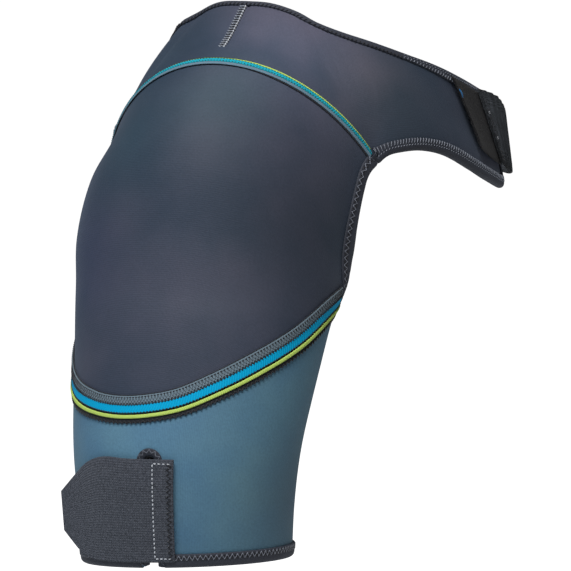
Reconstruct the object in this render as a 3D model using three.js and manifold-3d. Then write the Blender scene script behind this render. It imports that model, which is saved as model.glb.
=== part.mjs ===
// Shoulder brace for a right shoulder, in millimetres.
// X runs to the wearer's front, Y to the wearer's middle, Z up.
// The origin is the underside of the shoulder cap at its crown.
import * as THREE from "three";
import Module from "manifold-3d";

const wasm = await Module();
wasm.setup();

// Driving sizes
const WALL = 3;
const SLEEVE_DROP = 268;
const ARM_REACH = 97;
const CAP_HALF_DEPTH = 80;
const FLAP_DEPTH = 114;
const FLAP_REACH = 174;
const FLAP_DROP = 84;
const YOKE_SWELL = 7;
const STRAP_WIDTH = 38;
const STRAP_THICK = 1.8;
const STRAP_REACH = 290;
const HOOK_TAB_THICK = 1.4;
const CUFF_TAB_LENGTH = 77;
const CUFF_TAB_HEIGHT = 60;
const CUFF_TAB_THICK = 1.6;
const SLIT_WIDTH = 8.4;
const SLIT_HEIGHT = 63;
const BAND_WIDTH = 15;
const SEAM_TAPE_WIDTH = 7;
const EDGE_BINDING_WIDTH = 6;
const NECK_BINDING_WIDTH = 2.8;
const HEM_BINDING_WIDTH = 6.5;
const SLIT_BINDING_WIDTH = 3;
const BINDING_THICK = 0.9;

// Clearances
const GAP = 0.3;
const LAY = 0.32;
const TAPE_BACK_THICK = 0.4;
const TAPE_THICK = 0.5;
const BRAID_THICK = 0.6;

// Where the tapes lie: across the seam in halves of its tape's width, shoulder
// panel side below 0, and across the band in shares of its width, cuff side below 0
const SEAM_TAPES = {
  grey: [-0.8, -0.28],
  blue: [-0.17, 0, 0.5],
  lime: [0.61, 0.84],
};
const BAND_TAPES = {
  backing: [-0.5, -0.17, 0.17, 0.5],
  grey: [0.14, 0.46],
  blue: [-0.16, 0.11],
  lime: [-0.36, -0.22],
};

// Lean of the shoulder and tilt of the hem, as slopes along X
const SHOULDER_LEAN = 0.04;
const LEAN_FROM = 0.5;
const HEM_TILT = 0.075;
const HEM_TILT_TO = 0.3;

// Sleeve sections from hem to shoulder seam.
// side is the outermost line of the arm, edge the line where the armhole is cut,
// wrap the share of a half turn between them, backX the widening at the back.
const SLEEVE = [
  { h: 0, sideY: -0.954, sideZ: -0.974, edgeX: 0.681, edgeY: -0.255, edgeZ: -0.999, wrap: 0.611, backX: 1 },
  { h: 0.105, sideY: -0.992, sideZ: -0.857, edgeX: 0.705, edgeY: -0.269, edgeZ: -0.884, wrap: 0.611, backX: 1 },
  { h: 0.196, sideY: -1.004, sideZ: -0.76, edgeX: 0.734, edgeY: -0.252, edgeZ: -0.787, wrap: 0.611, backX: 1 },
  { h: 0.379, sideY: -0.881, sideZ: -0.568, edgeX: 0.81, edgeY: -0.079, edgeZ: -0.597, wrap: 0.611, backX: 1 },
  { h: 0.468, sideY: -0.789, sideZ: -0.474, edgeX: 0.846, edgeY: 0.048, edgeZ: -0.504, wrap: 0.611, backX: 1 },
  { h: 0.515, sideY: -0.732, sideZ: -0.43, edgeX: 0.882, edgeY: 0.139, edgeZ: -0.461, wrap: 0.611, backX: 1.015 },
  { h: 0.606, sideY: -0.644, sideZ: -0.336, edgeX: 0.92, edgeY: 0.222, edgeZ: -0.388, wrap: 0.583, backX: 1.05 },
  { h: 0.764, sideY: -0.495, sideZ: -0.172, edgeX: 0.945, edgeY: 0.325, edgeZ: -0.284, wrap: 0.489, backX: 1.09 },
  { h: 0.88, sideY: -0.309, sideZ: -0.075, edgeX: 0.972, edgeY: 0.366, edgeZ: -0.237, wrap: 0.417, backX: 1.02 },
  { h: 1, sideY: -0.021, sideZ: 0.011, edgeX: 0.995, edgeY: 0.391, edgeZ: -0.207, wrap: 0.361, backX: 0.96 },
];

// Joint between shoulder panel and cuff panel, across the sleeve from back to front
const BAND = [
  { a: -1.000, h: 0.445 },
  { a: -0.850, h: 0.405 },
  { a: -0.700, h: 0.356 },
  { a: -0.515, h: 0.316 },
  { a: -0.340, h: 0.298 },
  { a: -0.165, h: 0.2935 },
  { a: -0.020, h: 0.300 },
  { a: 0.110, h: 0.314 },
  { a: 0.265, h: 0.341 },
  { a: 0.430, h: 0.378 },
  { a: 0.615, h: 0.4245 },
  { a: 0.790, h: 0.478 },
  { a: 1.000, h: 0.515 },
];
const ARMPIT_H = 0.47;

// Neck edge of the yoke from the crown to a flap end, and the swell of the panel
const NECK = [
  { p: 0.00, x: 0.000, y: 0.289, z: 0.377, backX: 1.00, swell: 0.00 },
  { p: 0.15, x: 0.127, y: 0.291, z: 0.369, backX: 0.92, swell: 0.18 },
  { p: 0.30, x: 0.254, y: 0.298, z: 0.319, backX: 0.82, swell: 0.56 },
  { p: 0.45, x: 0.368, y: 0.311, z: 0.238, backX: 0.78, swell: 0.90 },
  { p: 0.55, x: 0.474, y: 0.348, z: 0.176, backX: 0.75, swell: 1.00 },
  { p: 0.64, x: 0.588, y: 0.399, z: 0.113, backX: 0.76, swell: 0.89 },
  { p: 0.73, x: 0.711, y: 0.480, z: 0.027, backX: 0.74, swell: 0.65 },
  { p: 0.82, x: 0.825, y: 0.593, z: -0.074, backX: 0.77, swell: 0.35 },
  { p: 0.90, x: 0.886, y: 0.721, z: -0.177, backX: 0.80, swell: 0.20 },
  { p: 1.00, x: 0.905, y: 0.990, z: -0.350, backX: 0.82, swell: 0.10 },
];

// Lower edge of a flap from the shoulder seam's foot to the flap end
const FLAP_EDGE = [
  { p: 0.55, x: 0.790, y: 0.306, z: -0.613, backX: 0.95 },
  { p: 0.64, x: 0.861, y: 0.400, z: -0.620, backX: 0.89 },
  { p: 0.73, x: 0.927, y: 0.516, z: -0.680, backX: 0.86 },
  { p: 0.82, x: 0.979, y: 0.664, z: -0.797, backX: 0.85 },
  { p: 0.89, x: 0.996, y: 0.793, z: -0.893, backX: 0.85 },
  { p: 0.96, x: 0.985, y: 0.985, z: -0.992, backX: 0.85 },
  { p: 1.00, x: 0.952, y: 1.062, z: -1.008, backX: 0.85 },
];
const SEAM_P = 0.45;
const BACK_SWELL = 0.45;
const SWELL_WAY = { x: 0.8, y: -0.35, z: 0.6 };
const SWELL_TURN = 0.35;
const FOOT_SOFTENING = 0.12;

// Free run of the chest strap round the far side of the chest
const STRAP_RUN = [
  { x: 0.910, y: 0.72, z: -0.67, lean: 0.12 },
  { x: 0.760, y: 0.83, z: -0.74, lean: 0.08 },
  { x: 0.560, y: 0.93, z: -0.76, lean: 0.04 },
  { x: 0.210, y: 0.995, z: -0.77, lean: 0.02 },
  { x: -0.200, y: 0.995, z: -0.76, lean: 0.02 },
  { x: -0.510, y: 0.93, z: -0.74, lean: 0.04 },
  { x: -0.700, y: 0.83, z: -0.71, lean: 0.08 },
  { x: -0.800, y: 0.72, z: -0.68, lean: 0.12 },
];

// Chest strap and hook tab where they lie on the flaps: place p along the flap
// and share q of the flap's width at the lower and upper corner
const HOOK_TAB_END = { lowP: 0.872, lowQ: 0.27, highP: 0.840, highQ: 0.87 };
const HOOK_TAB_ROOT = { lowP: 0.950, lowQ: 0.25, highP: 0.935, highQ: 0.87 };
const STRAP_FRONT = [
  { lowP: 0.918, lowQ: 0.25, highP: 0.905, highQ: 0.87 },
  { lowP: 0.955, lowQ: 0.24, highP: 0.955, highQ: 0.87 },
  { lowP: 0.990, lowQ: 0.22, highP: 1.000, highQ: 0.86 },
];
const STRAP_BACK = [
  { lowP: -0.990, lowQ: 0.22, highP: -1.000, highQ: 0.84 },
  { lowP: -0.950, lowQ: 0.24, highP: -0.955, highQ: 0.86 },
  { lowP: -0.900, lowQ: 0.25, highP: -0.900, highQ: 0.86 },
];

// Outline of the cuff tab along its length: how far its corners are cut back
const CUFF_TAB = [
  { u: 0.00, top: 0.00, foot: 0.00 },
  { u: 0.30, top: 0.00, foot: 0.00 },
  { u: 0.56, top: 0.01, foot: 0.00 },
  { u: 0.70, top: 0.10, foot: 0.01 },
  { u: 0.82, top: 0.21, foot: 0.09 },
  { u: 0.92, top: 0.32, foot: 0.19 },
  { u: 1.00, top: 0.42, foot: 0.26 },
];
const CUFF_TAB_SEWN_A = 0.115;
const CUFF_TAB_LEAVES_A = -0.30;
const CUFF_TAB_FOOT_H = 0.004;

// Colours
const CHARCOAL = "#3d4252";
const TEAL = "#55798c";
const SLATE = "#474d57";
const GREY = "#7f8b96";
const BLUE = "#1490bd";
const LIME = "#b0c46a";
const BLACK = "#24252b";

// Smooth curve through the rows of a table
function along(rows, place, key, at) {
  let i = 0;
  while (i < rows.length - 2 && at >= rows[i + 1][place]) {
    i += 1;
  }
  const slope = (k) => (rows[k + 1][key] - rows[k][key]) / (rows[k + 1][place] - rows[k][place]);
  const tangent = (k) => {
    if (k === 0) {
      return slope(0);
    }
    if (k === rows.length - 1) {
      return slope(k - 1);
    }
    const before = rows[k][place] - rows[k - 1][place];
    const after = rows[k + 1][place] - rows[k][place];
    return (slope(k - 1) * after + slope(k) * before) / (before + after);
  };
  const span = rows[i + 1][place] - rows[i][place];
  const t = (at - rows[i][place]) / span;
  const t2 = t * t;
  const t3 = t2 * t;
  const start = (2 * t3 - 3 * t2 + 1) * rows[i][key] + (t3 - 2 * t2 + t) * span * tangent(i);
  const end = (3 * t2 - 2 * t3) * rows[i + 1][key] + (t3 - t2) * span * tangent(i + 1);
  return start + end;
}

function ease(t) {
  const c = Math.min(Math.max(t, 0), 1);
  return c * c * (3 - 2 * c);
}

function spread(from, to, count) {
  return Array.from({ length: count + 1 }, (_, i) => from + ((to - from) * i) / count);
}

// Outer face of the sleeve: a runs round the arm from back to front, with the
// armhole edges at -1 and 1 and the inside of the arm at 2; h runs up the arm
function sleevePoint(a, h) {
  const value = (key) => along(SLEEVE, "h", key, h);
  const wrap = value("wrap") * Math.PI;
  const near = Math.min(Math.abs(a), 1);
  const past = Math.max(Math.abs(a) - 1, 0);
  const turn = near * wrap + past * (Math.PI - wrap);
  const share = (1 - Math.cos(turn)) / (1 - Math.cos(wrap));
  const side = a < 0 ? -1 : 1;
  const flat = (side * CAP_HALF_DEPTH * value("edgeX") * Math.sin(turn)) / Math.sin(wrap);
  const y = ARM_REACH * (value("sideY") + (value("edgeY") - value("sideY")) * share);
  const rise = SLEEVE_DROP * (value("sideZ") + (value("edgeZ") - value("sideZ")) * share);
  const tilt = HEM_TILT * Math.min(Math.max(1 - h / HEM_TILT_TO, 0), 1);
  const lean = SHOULDER_LEAN * ease((h - LEAN_FROM) / (1 - LEAN_FROM));
  const x = flat * (a < 0 ? value("backX") : 1);
  return new THREE.Vector3(x, y, rise + (tilt + lean) * flat);
}

// Lower edge of the yoke: the shoulder seam, then the edge of each flap
function yokeEdge(p) {
  if (Math.abs(p) <= SEAM_P) {
    return sleevePoint(p / SEAM_P, 1);
  }
  const side = p < 0 ? -1 : 1;
  const foot = sleevePoint(side, 1);
  const first = {
    p: SEAM_P,
    x: Math.abs(foot.x) / FLAP_DEPTH,
    y: foot.y / FLAP_REACH,
    z: foot.z / FLAP_DROP,
  };
  const rest = FLAP_EDGE.map((row) => ({ ...row, x: row.x * (p < 0 ? row.backX : 1) }));
  const share = (key) => along([first, ...rest], "p", key, Math.abs(p));
  return new THREE.Vector3(
    side * FLAP_DEPTH * share("x"),
    FLAP_REACH * share("y"),
    FLAP_DROP * share("z"),
  );
}

// Outer face of the yoke and its flaps: p runs from the back flap end to the
// front flap end, q from the shoulder seam and flap edges up to the neck edge
function yokePoint(p, q) {
  const side = p < 0 ? -1 : 1;
  const m = Math.abs(p);
  const reach = FOOT_SOFTENING * ease(q / 0.5) * ease((1 - m) / FOOT_SOFTENING);
  const low = [-1, -0.5, 0, 0.5, 1].reduce(
    (sum, k) => sum.addScaledVector(yokeEdge(p + k * reach), 0.2),
    new THREE.Vector3(),
  );
  const share = (key) => along(NECK, "p", key, m);
  const neck = new THREE.Vector3(
    side * FLAP_DEPTH * share("x") * (p < 0 ? share("backX") : 1),
    FLAP_REACH * share("y"),
    FLAP_DROP * share("z"),
  );
  const way = new THREE.Vector3(side * SWELL_WAY.x * ease(m / SWELL_TURN), SWELL_WAY.y, SWELL_WAY.z);
  const swell = YOKE_SWELL * share("swell") * Math.sin(Math.PI * q) * (p < 0 ? BACK_SWELL : 1);
  return low.lerp(neck, q).addScaledVector(way.normalize(), swell);
}

const STEP = 1e-3;

// Face direction of a surface, away from the wearer
function faceWay(surface, u, v) {
  const du = surface(u + STEP, v).sub(surface(u - STEP, v));
  const dv = surface(u, v + STEP).sub(surface(u, v - STEP));
  return du.cross(dv).normalize();
}

// Point of the sleeve at a distance across a line that runs round the arm
function acrossLine(line, a, distance) {
  const h = line(a);
  const du = sleevePoint(a + STEP, h).sub(sleevePoint(a - STEP, h)).divideScalar(2 * STEP);
  const dv = sleevePoint(a, h + STEP).sub(sleevePoint(a, h - STEP)).divideScalar(2 * STEP);
  const run = sleevePoint(a + STEP, line(a + STEP)).sub(sleevePoint(a - STEP, line(a - STEP)));
  const across = faceWay(sleevePoint, a, h).cross(run.normalize()).multiplyScalar(distance);
  const uu = du.dot(du);
  const uv = du.dot(dv);
  const vv = dv.dot(dv);
  const mu = across.dot(du);
  const mv = across.dot(dv);
  const det = uu * vv - uv * uv;
  return { a: a + (mu * vv - mv * uv) / det, h: h + (mv * uu - mu * uv) / det };
}

// Closed solid between an outer and an inner grid of points
function gridSolid(outer, inner, ring = false) {
  const nu = outer.length;
  const nv = outer[0].length;
  const positions = [];
  [outer, inner].forEach((grid) => grid.forEach((row) => row.forEach((v) => positions.push(v.x, v.y, v.z))));
  const index = [];
  const at = (layer, i, j) => layer * nu * nv + (i % nu) * nv + j;
  const quad = (a, b, c, d) => index.push(a, b, c, a, c, d);
  const last = ring ? nu : nu - 1;
  for (let i = 0; i < last; i += 1) {
    for (let j = 0; j < nv - 1; j += 1) {
      quad(at(0, i, j), at(0, i + 1, j), at(0, i + 1, j + 1), at(0, i, j + 1));
      quad(at(1, i, j), at(1, i, j + 1), at(1, i + 1, j + 1), at(1, i + 1, j));
    }
    quad(at(0, i, 0), at(1, i, 0), at(1, i + 1, 0), at(0, i + 1, 0));
    quad(at(0, i, nv - 1), at(0, i + 1, nv - 1), at(1, i + 1, nv - 1), at(1, i, nv - 1));
  }
  if (!ring) {
    for (let j = 0; j < nv - 1; j += 1) {
      quad(at(0, 0, j), at(0, 0, j + 1), at(1, 0, j + 1), at(1, 0, j));
      quad(at(0, nu - 1, j), at(1, nu - 1, j), at(1, nu - 1, j + 1), at(0, nu - 1, j + 1));
    }
  }
  const geometry = new THREE.BufferGeometry();
  geometry.setAttribute("position", new THREE.Float32BufferAttribute(positions, 3));
  geometry.setIndex(index);
  return geometry;
}

// Solid lofted through closed sections, with flat ends. The diagonals of its
// faces run the same way as those of the panels it lies against.
function loft(sections, turned = false) {
  const count = sections[0].length;
  const positions = sections.flat().flatMap((v) => [v.x, v.y, v.z]);
  const index = [];
  const face = (a, b, c) => index.push(a, ...(turned ? [c, b] : [b, c]));
  for (let i = 0; i < sections.length - 1; i += 1) {
    for (let k = 0; k < count; k += 1) {
      const a = i * count + k;
      const b = i * count + ((k + 1) % count);
      if (k % 4 === 2) {
        face(a, a + count, b + count);
        face(a, b + count, b);
      } else {
        face(a, a + count, b);
        face(b, a + count, b + count);
      }
    }
  }
  const end = (sections.length - 1) * count;
  for (let k = 0; k < count / 2 - 1; k += 1) {
    const far = count - 1 - k;
    face(k, k + 1, far - 1);
    face(k, far - 1, far);
    face(end + k, end + far - 1, end + k + 1);
    face(end + k, end + far, end + far - 1);
  }
  const geometry = new THREE.BufferGeometry();
  geometry.setAttribute("position", new THREE.Float32BufferAttribute(positions, 3));
  geometry.setIndex(index);
  return geometry;
}

// Layer lying on a grid of points at a height above them
function layer(points, ways, lift, thick) {
  const at = (height) => points.map((row, i) => row.map((v, j) => {
    const above = typeof height === "function" ? height(i, j) : height;
    return v.clone().addScaledVector(ways[i][j], above);
  }));
  const top = typeof lift === "function" ? (i, j) => lift(i, j) + thick : lift + thick;
  return gridSolid(at(top), at(lift));
}

// Panels: outer and inner grids, kept for the bindings that fold round their edges.
// Bound edges stand back by the thickness of the binding.
const BOUND = LAY + BINDING_THICK;
const SLEEVE_STEPS = 32;
const armEdgeLength = sleevePoint(1, 0.9).distanceTo(sleevePoint(0.98, 0.9)) / 0.02;
const EDGE_A = 1 - BOUND / armEdgeLength;
const columns = spread(-EDGE_A, EDGE_A, SLEEVE_STEPS);
const band = (a) => along(BAND, "a", "h", Math.min(Math.max(a, -1), 1));
const seamWays = columns.map((a) => {
  const sum = faceWay(sleevePoint, a, 1 - STEP).add(faceWay(yokePoint, a * SEAM_P, STEP));
  return sum.normalize();
});

// Share of the arm's height that makes a given length there
function rise(a, h, length) {
  return (length * 2 * STEP) / sleevePoint(a, h + STEP).distanceTo(sleevePoint(a, h - STEP));
}

function panelGrids(points, ways) {
  const inner = points.map((row, i) => row.map((v, j) => v.clone().addScaledVector(ways[i][j], -WALL)));
  return { outer: points, inner };
}

const SHOULDER_ROWS = [0, 0.06, 0.14, 0.23, 0.32, 0.42, 0.52, 0.62, 0.72, 0.82, 0.91, 1];
const shoulderHeights = columns.map((a) => {
  const foot = band(a) + rise(a, band(a), GAP / 2);
  const top = 1 - rise(a, 1, GAP / 2);
  return SHOULDER_ROWS.map((share) => foot + (top - foot) * share);
});
const shoulderPoints = columns.map((a, i) => shoulderHeights[i].map((h) => sleevePoint(a, h)));
const shoulderWays = columns.map((a, i) => shoulderHeights[i].map((h, j) => (
  j === SHOULDER_ROWS.length - 1 ? seamWays[i] : faceWay(sleevePoint, a, h)
)));
const shoulder = panelGrids(shoulderPoints, shoulderWays);

const CUFF_ROWS = [0, 0.115, 0.25, 0.4, 0.55, 0.68, 0.79, 0.87, 0.94, 1];
const SLIT_SIDE_A = 0.078;
const INSIDE_STEPS = 9;
const insideColumns = spread(EDGE_A, 2, INSIDE_STEPS).slice(1, -1);
const FIRST_COLUMN_A = 0.11;
const frontColumns = columns.filter((a) => a > FIRST_COLUMN_A);
const halfRound = [SLIT_SIDE_A / 2, SLIT_SIDE_A, ...frontColumns, ...insideColumns];
const cuffColumns = [0, ...halfRound, 2, ...halfRound.slice().reverse().map((a) => -a)];
const cuffTop = (a) => {
  const m = Math.abs(a);
  const joint = band(Math.sign(a) * Math.min(m, EDGE_A));
  if (m <= EDGE_A) {
    return joint - rise(a, joint, GAP / 2);
  }
  return joint + (ARMPIT_H - joint) * ease((m - EDGE_A) / (2 - EDGE_A));
};
const cuffHeights = cuffColumns.map((a) => {
  const foot = rise(a, STEP, BOUND);
  return CUFF_ROWS.map((share) => foot + (cuffTop(a) - foot) * share);
});
const cuffPoints = cuffColumns.map((a, i) => cuffHeights[i].map((h) => sleevePoint(a, h)));
const cuffWays = cuffColumns.map((a, i) => cuffHeights[i].map((h) => faceWay(sleevePoint, a, h)));
const cuff = panelGrids(cuffPoints, cuffWays);

const FLAP_STEPS = 11;
const flapLength = yokePoint(1, 0.5).distanceTo(yokePoint(0.98, 0.5)) / 0.02;
const EDGE_P = 1 - BOUND / flapLength;
const flapColumns = spread(SEAM_P, EDGE_P, FLAP_STEPS).slice(1);
const yokeColumns = [
  ...flapColumns.slice().reverse().map((p) => -p),
  ...columns.map((a) => a * SEAM_P),
  ...flapColumns,
];
const YOKE_ROWS = [0, 0.14, 0.36, 0.6, 0.86, 1];
const yokeShares = yokeColumns.map((p) => {
  const width = yokePoint(p, 0).distanceTo(yokePoint(p, 1));
  const foot = (Math.abs(p) <= SEAM_P ? GAP / 2 : BOUND) / width;
  return YOKE_ROWS.map((share) => foot + (1 - BOUND / width - foot) * share);
});
const yokePoints = yokeColumns.map((p, i) => yokeShares[i].map((q) => yokePoint(p, q)));
const yokeWays = yokeColumns.map((p, i) => yokeShares[i].map((q, j) => {
  const onSeam = j === 0 && Math.abs(p) <= SEAM_P;
  return onSeam ? seamWays[i - FLAP_STEPS] : faceWay(yokePoint, p, q);
}));
const yoke = panelGrids(yokePoints, yokeWays);

// Slit in the outer line of the cuff, with a round top
const hemZ = sleevePoint(0, 0).z + BOUND;
const slitRound = SLIT_WIDTH / 2;
const slitArch = hemZ + SLIT_HEIGHT - slitRound;
const SLIT_SIDE_STEPS = 5;
const SLIT_ARC_STEPS = 8;
const slitSide = spread(hemZ, slitArch, SLIT_SIDE_STEPS).slice(0, -1);
const slitPath = [
  ...slitSide.map((z) => ({ x: -slitRound, z, mx: -1, mz: 0 })),
  ...spread(0, Math.PI, SLIT_ARC_STEPS).map((turn) => ({
    x: -Math.cos(turn) * slitRound,
    z: slitArch + Math.sin(turn) * slitRound,
    mx: -Math.cos(turn),
    mz: Math.sin(turn),
  })),
  ...slitSide.reverse().map((z) => ({ x: slitRound, z, mx: 1, mz: 0 })),
];

function slitCutter() {
  const outline = slitPath.map(({ x, z }) => new THREE.Vector2(x, z));
  outline[0].y -= 2 * WALL + HEM_BINDING_WIDTH;
  outline[outline.length - 1].y -= 2 * WALL + HEM_BINDING_WIDTH;
  const shape = new THREE.Shape(outline);
  const block = new THREE.ExtrudeGeometry(shape, { depth: ARM_REACH, bevelEnabled: false });
  block.rotateX(Math.PI / 2);
  block.translate(0, sleevePoint(0, 0.1).y + ARM_REACH / 3, 0);
  return block;
}

function toManifold(geometry) {
  const positions = geometry.attributes.position;
  const seen = new Map();
  const verts = [];
  const remap = [];
  for (let i = 0; i < positions.count; i += 1) {
    const p = [positions.getX(i), positions.getY(i), positions.getZ(i)];
    const key = p.map((c) => c.toFixed(5)).join();
    if (!seen.has(key)) {
      seen.set(key, seen.size);
      verts.push(...p);
    }
    remap.push(seen.get(key));
  }
  const order = geometry.index ? Array.from(geometry.index.array) : remap.map((_, i) => i);
  const triVerts = new Uint32Array(order.map((i) => remap[i]));
  const mesh = new wasm.Mesh({ numProp: 3, vertProperties: new Float32Array(verts), triVerts });
  return new wasm.Manifold(mesh);
}

function fromManifold(solid) {
  const mesh = solid.getMesh();
  const geometry = new THREE.BufferGeometry();
  geometry.setAttribute("position", new THREE.BufferAttribute(new Float32Array(mesh.vertProperties), 3));
  geometry.setIndex(new THREE.BufferAttribute(new Uint32Array(mesh.triVerts), 1));
  return geometry;
}

const wholeCuff = toManifold(gridSolid(cuff.outer, cuff.inner, true));
const cuffBody = fromManifold(wholeCuff.subtract(toManifold(slitCutter())));

// Fabric folded round an edge, given the edge and the way into the panel
function foldedEdge({ outer, inner, outerWay, innerWay }, width) {
  const face = outer.clone().sub(inner).normalize();
  const place = (from, way, inward, height) => (
    from.clone().addScaledVector(way, inward).addScaledVector(face, height)
  );
  const near = LAY;
  const far = LAY + BINDING_THICK;
  return [
    place(outer, outerWay, width, far),
    place(outer, outerWay, -far, far),
    place(inner, innerWay, -far, -far),
    place(inner, innerWay, width, -far),
    place(inner, innerWay, width, -near),
    place(inner, innerWay, -near, -near),
    place(outer, outerWay, -near, near),
    place(outer, outerWay, width, near),
  ];
}

function edgeStation(grids, i, j, steps) {
  const way = (grid) => {
    const [first, second] = [steps[0], steps[steps.length - 1]].map(([di, dj]) => (
      grid[i + di][j + dj].clone().sub(grid[i][j]).normalize()
    ));
    return first.clone().add(second).divideScalar(1 + first.dot(second));
  };
  const [outer, inner] = [grids.outer[i][j], grids.inner[i][j]];
  return { outer, inner, outerWay: way(grids.outer), innerWay: way(grids.inner) };
}

// A little past a seam foot on the yoke's lower edge, facing a column near the foot
function pastFoot(grids, i, step, past, column) {
  const at = (grid) => grid[i][0].clone().lerp(grid[i + step][0], past);
  const way = (grid) => grid[column][1].clone().sub(at(grid)).normalize();
  return { outer: at(grids.outer), inner: at(grids.inner), outerWay: way(grids.outer), innerWay: way(grids.inner) };
}

// Binding of the flaps and neck, from one seam foot right round to the other
const yokeLast = yokeColumns.length - 1;
const rowLast = YOKE_ROWS.length - 1;
const run = (from, to) => spread(from, to, Math.abs(to - from));
const edge = EDGE_BINDING_WIDTH;
const neckEdge = NECK_BINDING_WIDTH;
const frontFoot = yokeLast - FLAP_STEPS;
const station = (i, j, ...steps) => edgeStation(yoke, i, j, steps);
const yokeRun = [
  [station(frontFoot, 0, [-1, 0]), edge],
  [pastFoot(yoke, frontFoot, 1, 0.12, frontFoot), edge],
  ...run(frontFoot + 1, yokeLast - 1).map((i) => [station(i, 0, [0, 1]), edge]),
  [station(yokeLast, 0, [0, 1], [-1, 0]), edge],
  ...run(1, rowLast - 1).map((j) => [station(yokeLast, j, [-1, 0]), edge]),
  [station(yokeLast, rowLast, [0, -1], [-1, 0]), neckEdge],
  ...run(yokeLast - 1, 1).map((i) => [station(i, rowLast, [0, -1]), neckEdge]),
  [station(0, rowLast, [0, -1], [1, 0]), neckEdge],
  ...run(rowLast - 1, 1).map((j) => [station(0, j, [1, 0]), edge]),
  [station(0, 0, [0, 1], [1, 0]), edge],
  ...run(1, FLAP_STEPS - 1).map((i) => [station(i, 0, [0, 1]), edge]),
  [pastFoot(yoke, FLAP_STEPS, -1, 0.08, FLAP_STEPS), edge],
  [pastFoot(yoke, FLAP_STEPS, -1, 0.03, FLAP_STEPS + 1), edge],
  [station(FLAP_STEPS, 0, [1, 0]), edge],
];
const yokeBinding = loft(yokeRun.map(([place, width]) => foldedEdge(place, width)), true);

// Binding of the armhole: down the front, under the arm, up the back
const shoulderTop = SHOULDER_ROWS.length - 1;
const cuffTopRow = CUFF_ROWS.length - 1;
const frontCorner = cuffColumns.indexOf(EDGE_A);
const backCorner = cuffColumns.indexOf(-EDGE_A);
const armRun = [
  ...run(shoulderTop, 0).map((j) => edgeStation(shoulder, SLEEVE_STEPS, j, [[-1, 0]])),
  edgeStation(cuff, frontCorner, cuffTopRow, [[-1, 0], [0, -1]]),
  ...run(frontCorner + 1, backCorner - 1).map((i) => edgeStation(cuff, i, cuffTopRow, [[0, -1]])),
  edgeStation(cuff, backCorner, cuffTopRow, [[1, 0], [0, -1]]),
  ...run(0, shoulderTop).map((j) => edgeStation(shoulder, 0, j, [[1, 0]])),
];
const armBinding = loft(armRun.map((place) => foldedEdge(place, edge)));

// Binding of the hem, from one side of the slit round to the other
const hemRun = run(2, cuffColumns.length - 2).map((i) => edgeStation(cuff, i, 0, [[0, 1]]));
const hemBinding = loft(hemRun.map((place) => foldedEdge(place, HEM_BINDING_WIDTH)), true);

// Outer face of the arm's outermost line at a place seen from the side
function sideY(x, z) {
  let a = 0;
  let h = 0.1;
  for (let k = 0; k < 12; k += 1) {
    const here = sleevePoint(a, h);
    const du = sleevePoint(a + STEP, h).sub(sleevePoint(a - STEP, h)).divideScalar(2 * STEP);
    const dv = sleevePoint(a, h + STEP).sub(sleevePoint(a, h - STEP)).divideScalar(2 * STEP);
    const det = du.x * dv.z - dv.x * du.z;
    a += ((x - here.x) * dv.z - (z - here.z) * dv.x) / det;
    h += ((z - here.z) * du.x - (x - here.x) * du.z) / det;
  }
  return sleevePoint(a, h).y;
}

// Binding of the slit, up one side, over the arch and down the other
const slitSections = slitPath.map(({ x, z, mx, mz }) => {
  const foot = z === hemZ ? BOUND : 0;
  const place = (inward, depth) => {
    const px = x + mx * inward;
    const pz = z + mz * inward - foot;
    return new THREE.Vector3(px, sideY(px, pz) + depth, pz);
  };
  const near = LAY;
  const far = LAY + BINDING_THICK;
  return [
    place(SLIT_BINDING_WIDTH, -far),
    place(-far, -far),
    place(-far, WALL + far),
    place(SLIT_BINDING_WIDTH, WALL + far),
    place(SLIT_BINDING_WIDTH, WALL + near),
    place(-near, WALL + near),
    place(-near, -near),
    place(SLIT_BINDING_WIDTH, -near),
  ];
});
const slitBinding = loft(slitSections, true);

// Tapes over the shoulder seam, laid half on the shoulder panel and half on the yoke
const seamEnd = EDGE_A - (EDGE_BINDING_WIDTH + LAY + SEAM_TAPE_WIDTH / 2) / armEdgeLength;

function seamStrip(lines, lift, thick) {
  const stations = columns.map((a, i) => {
    const limited = Math.min(Math.max(a, -seamEnd), seamEnd);
    const from = Math.abs(a) > seamEnd ? i - Math.sign(a) : i;
    const share = Math.abs(a) > seamEnd ? (limited - columns[from]) / (a - columns[from]) : 0;
    const mix = (pick) => pick(from).clone().lerp(pick(i), share);
    const seam = mix((k) => shoulder.outer[k][shoulderTop].clone().lerp(yoke.outer[k + FLAP_STEPS][0], 0.5));
    const below = mix((k) => shoulder.outer[k][shoulderTop - 1]).sub(seam).normalize();
    const above = mix((k) => yoke.outer[k + FLAP_STEPS][1]).sub(seam).normalize();
    const way = mix((k) => seamWays[k]).normalize();
    const points = lines.map((s) => (
      seam.clone().addScaledVector(s < 0 ? below : above, (Math.abs(s) * SEAM_TAPE_WIDTH) / 2)
    ));
    return { points, ways: lines.map(() => way) };
  });
  return layer(stations.map((s) => s.points), stations.map((s) => s.ways), lift, thick);
}

const onTape = LAY + TAPE_BACK_THICK + GAP;
const seamBacking = seamStrip([-1, 0, 1], LAY, TAPE_BACK_THICK);
const seamGrey = seamStrip(SEAM_TAPES.grey, onTape, TAPE_THICK);
const seamBlue = seamStrip(SEAM_TAPES.blue, onTape, BRAID_THICK);
const seamLime = seamStrip(SEAM_TAPES.lime, onTape, TAPE_THICK);

// Tapes of the wide band over the joint of shoulder panel and cuff panel
const armTurnLength = sleevePoint(1, ARMPIT_H).distanceTo(sleevePoint(0.98, ARMPIT_H)) / 0.02;
const bandEnd = EDGE_A - (EDGE_BINDING_WIDTH + BAND_WIDTH / 2) / armTurnLength;
const BAND_STEPS = 32;
const bandColumns = spread(-bandEnd, bandEnd, BAND_STEPS);

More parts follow.
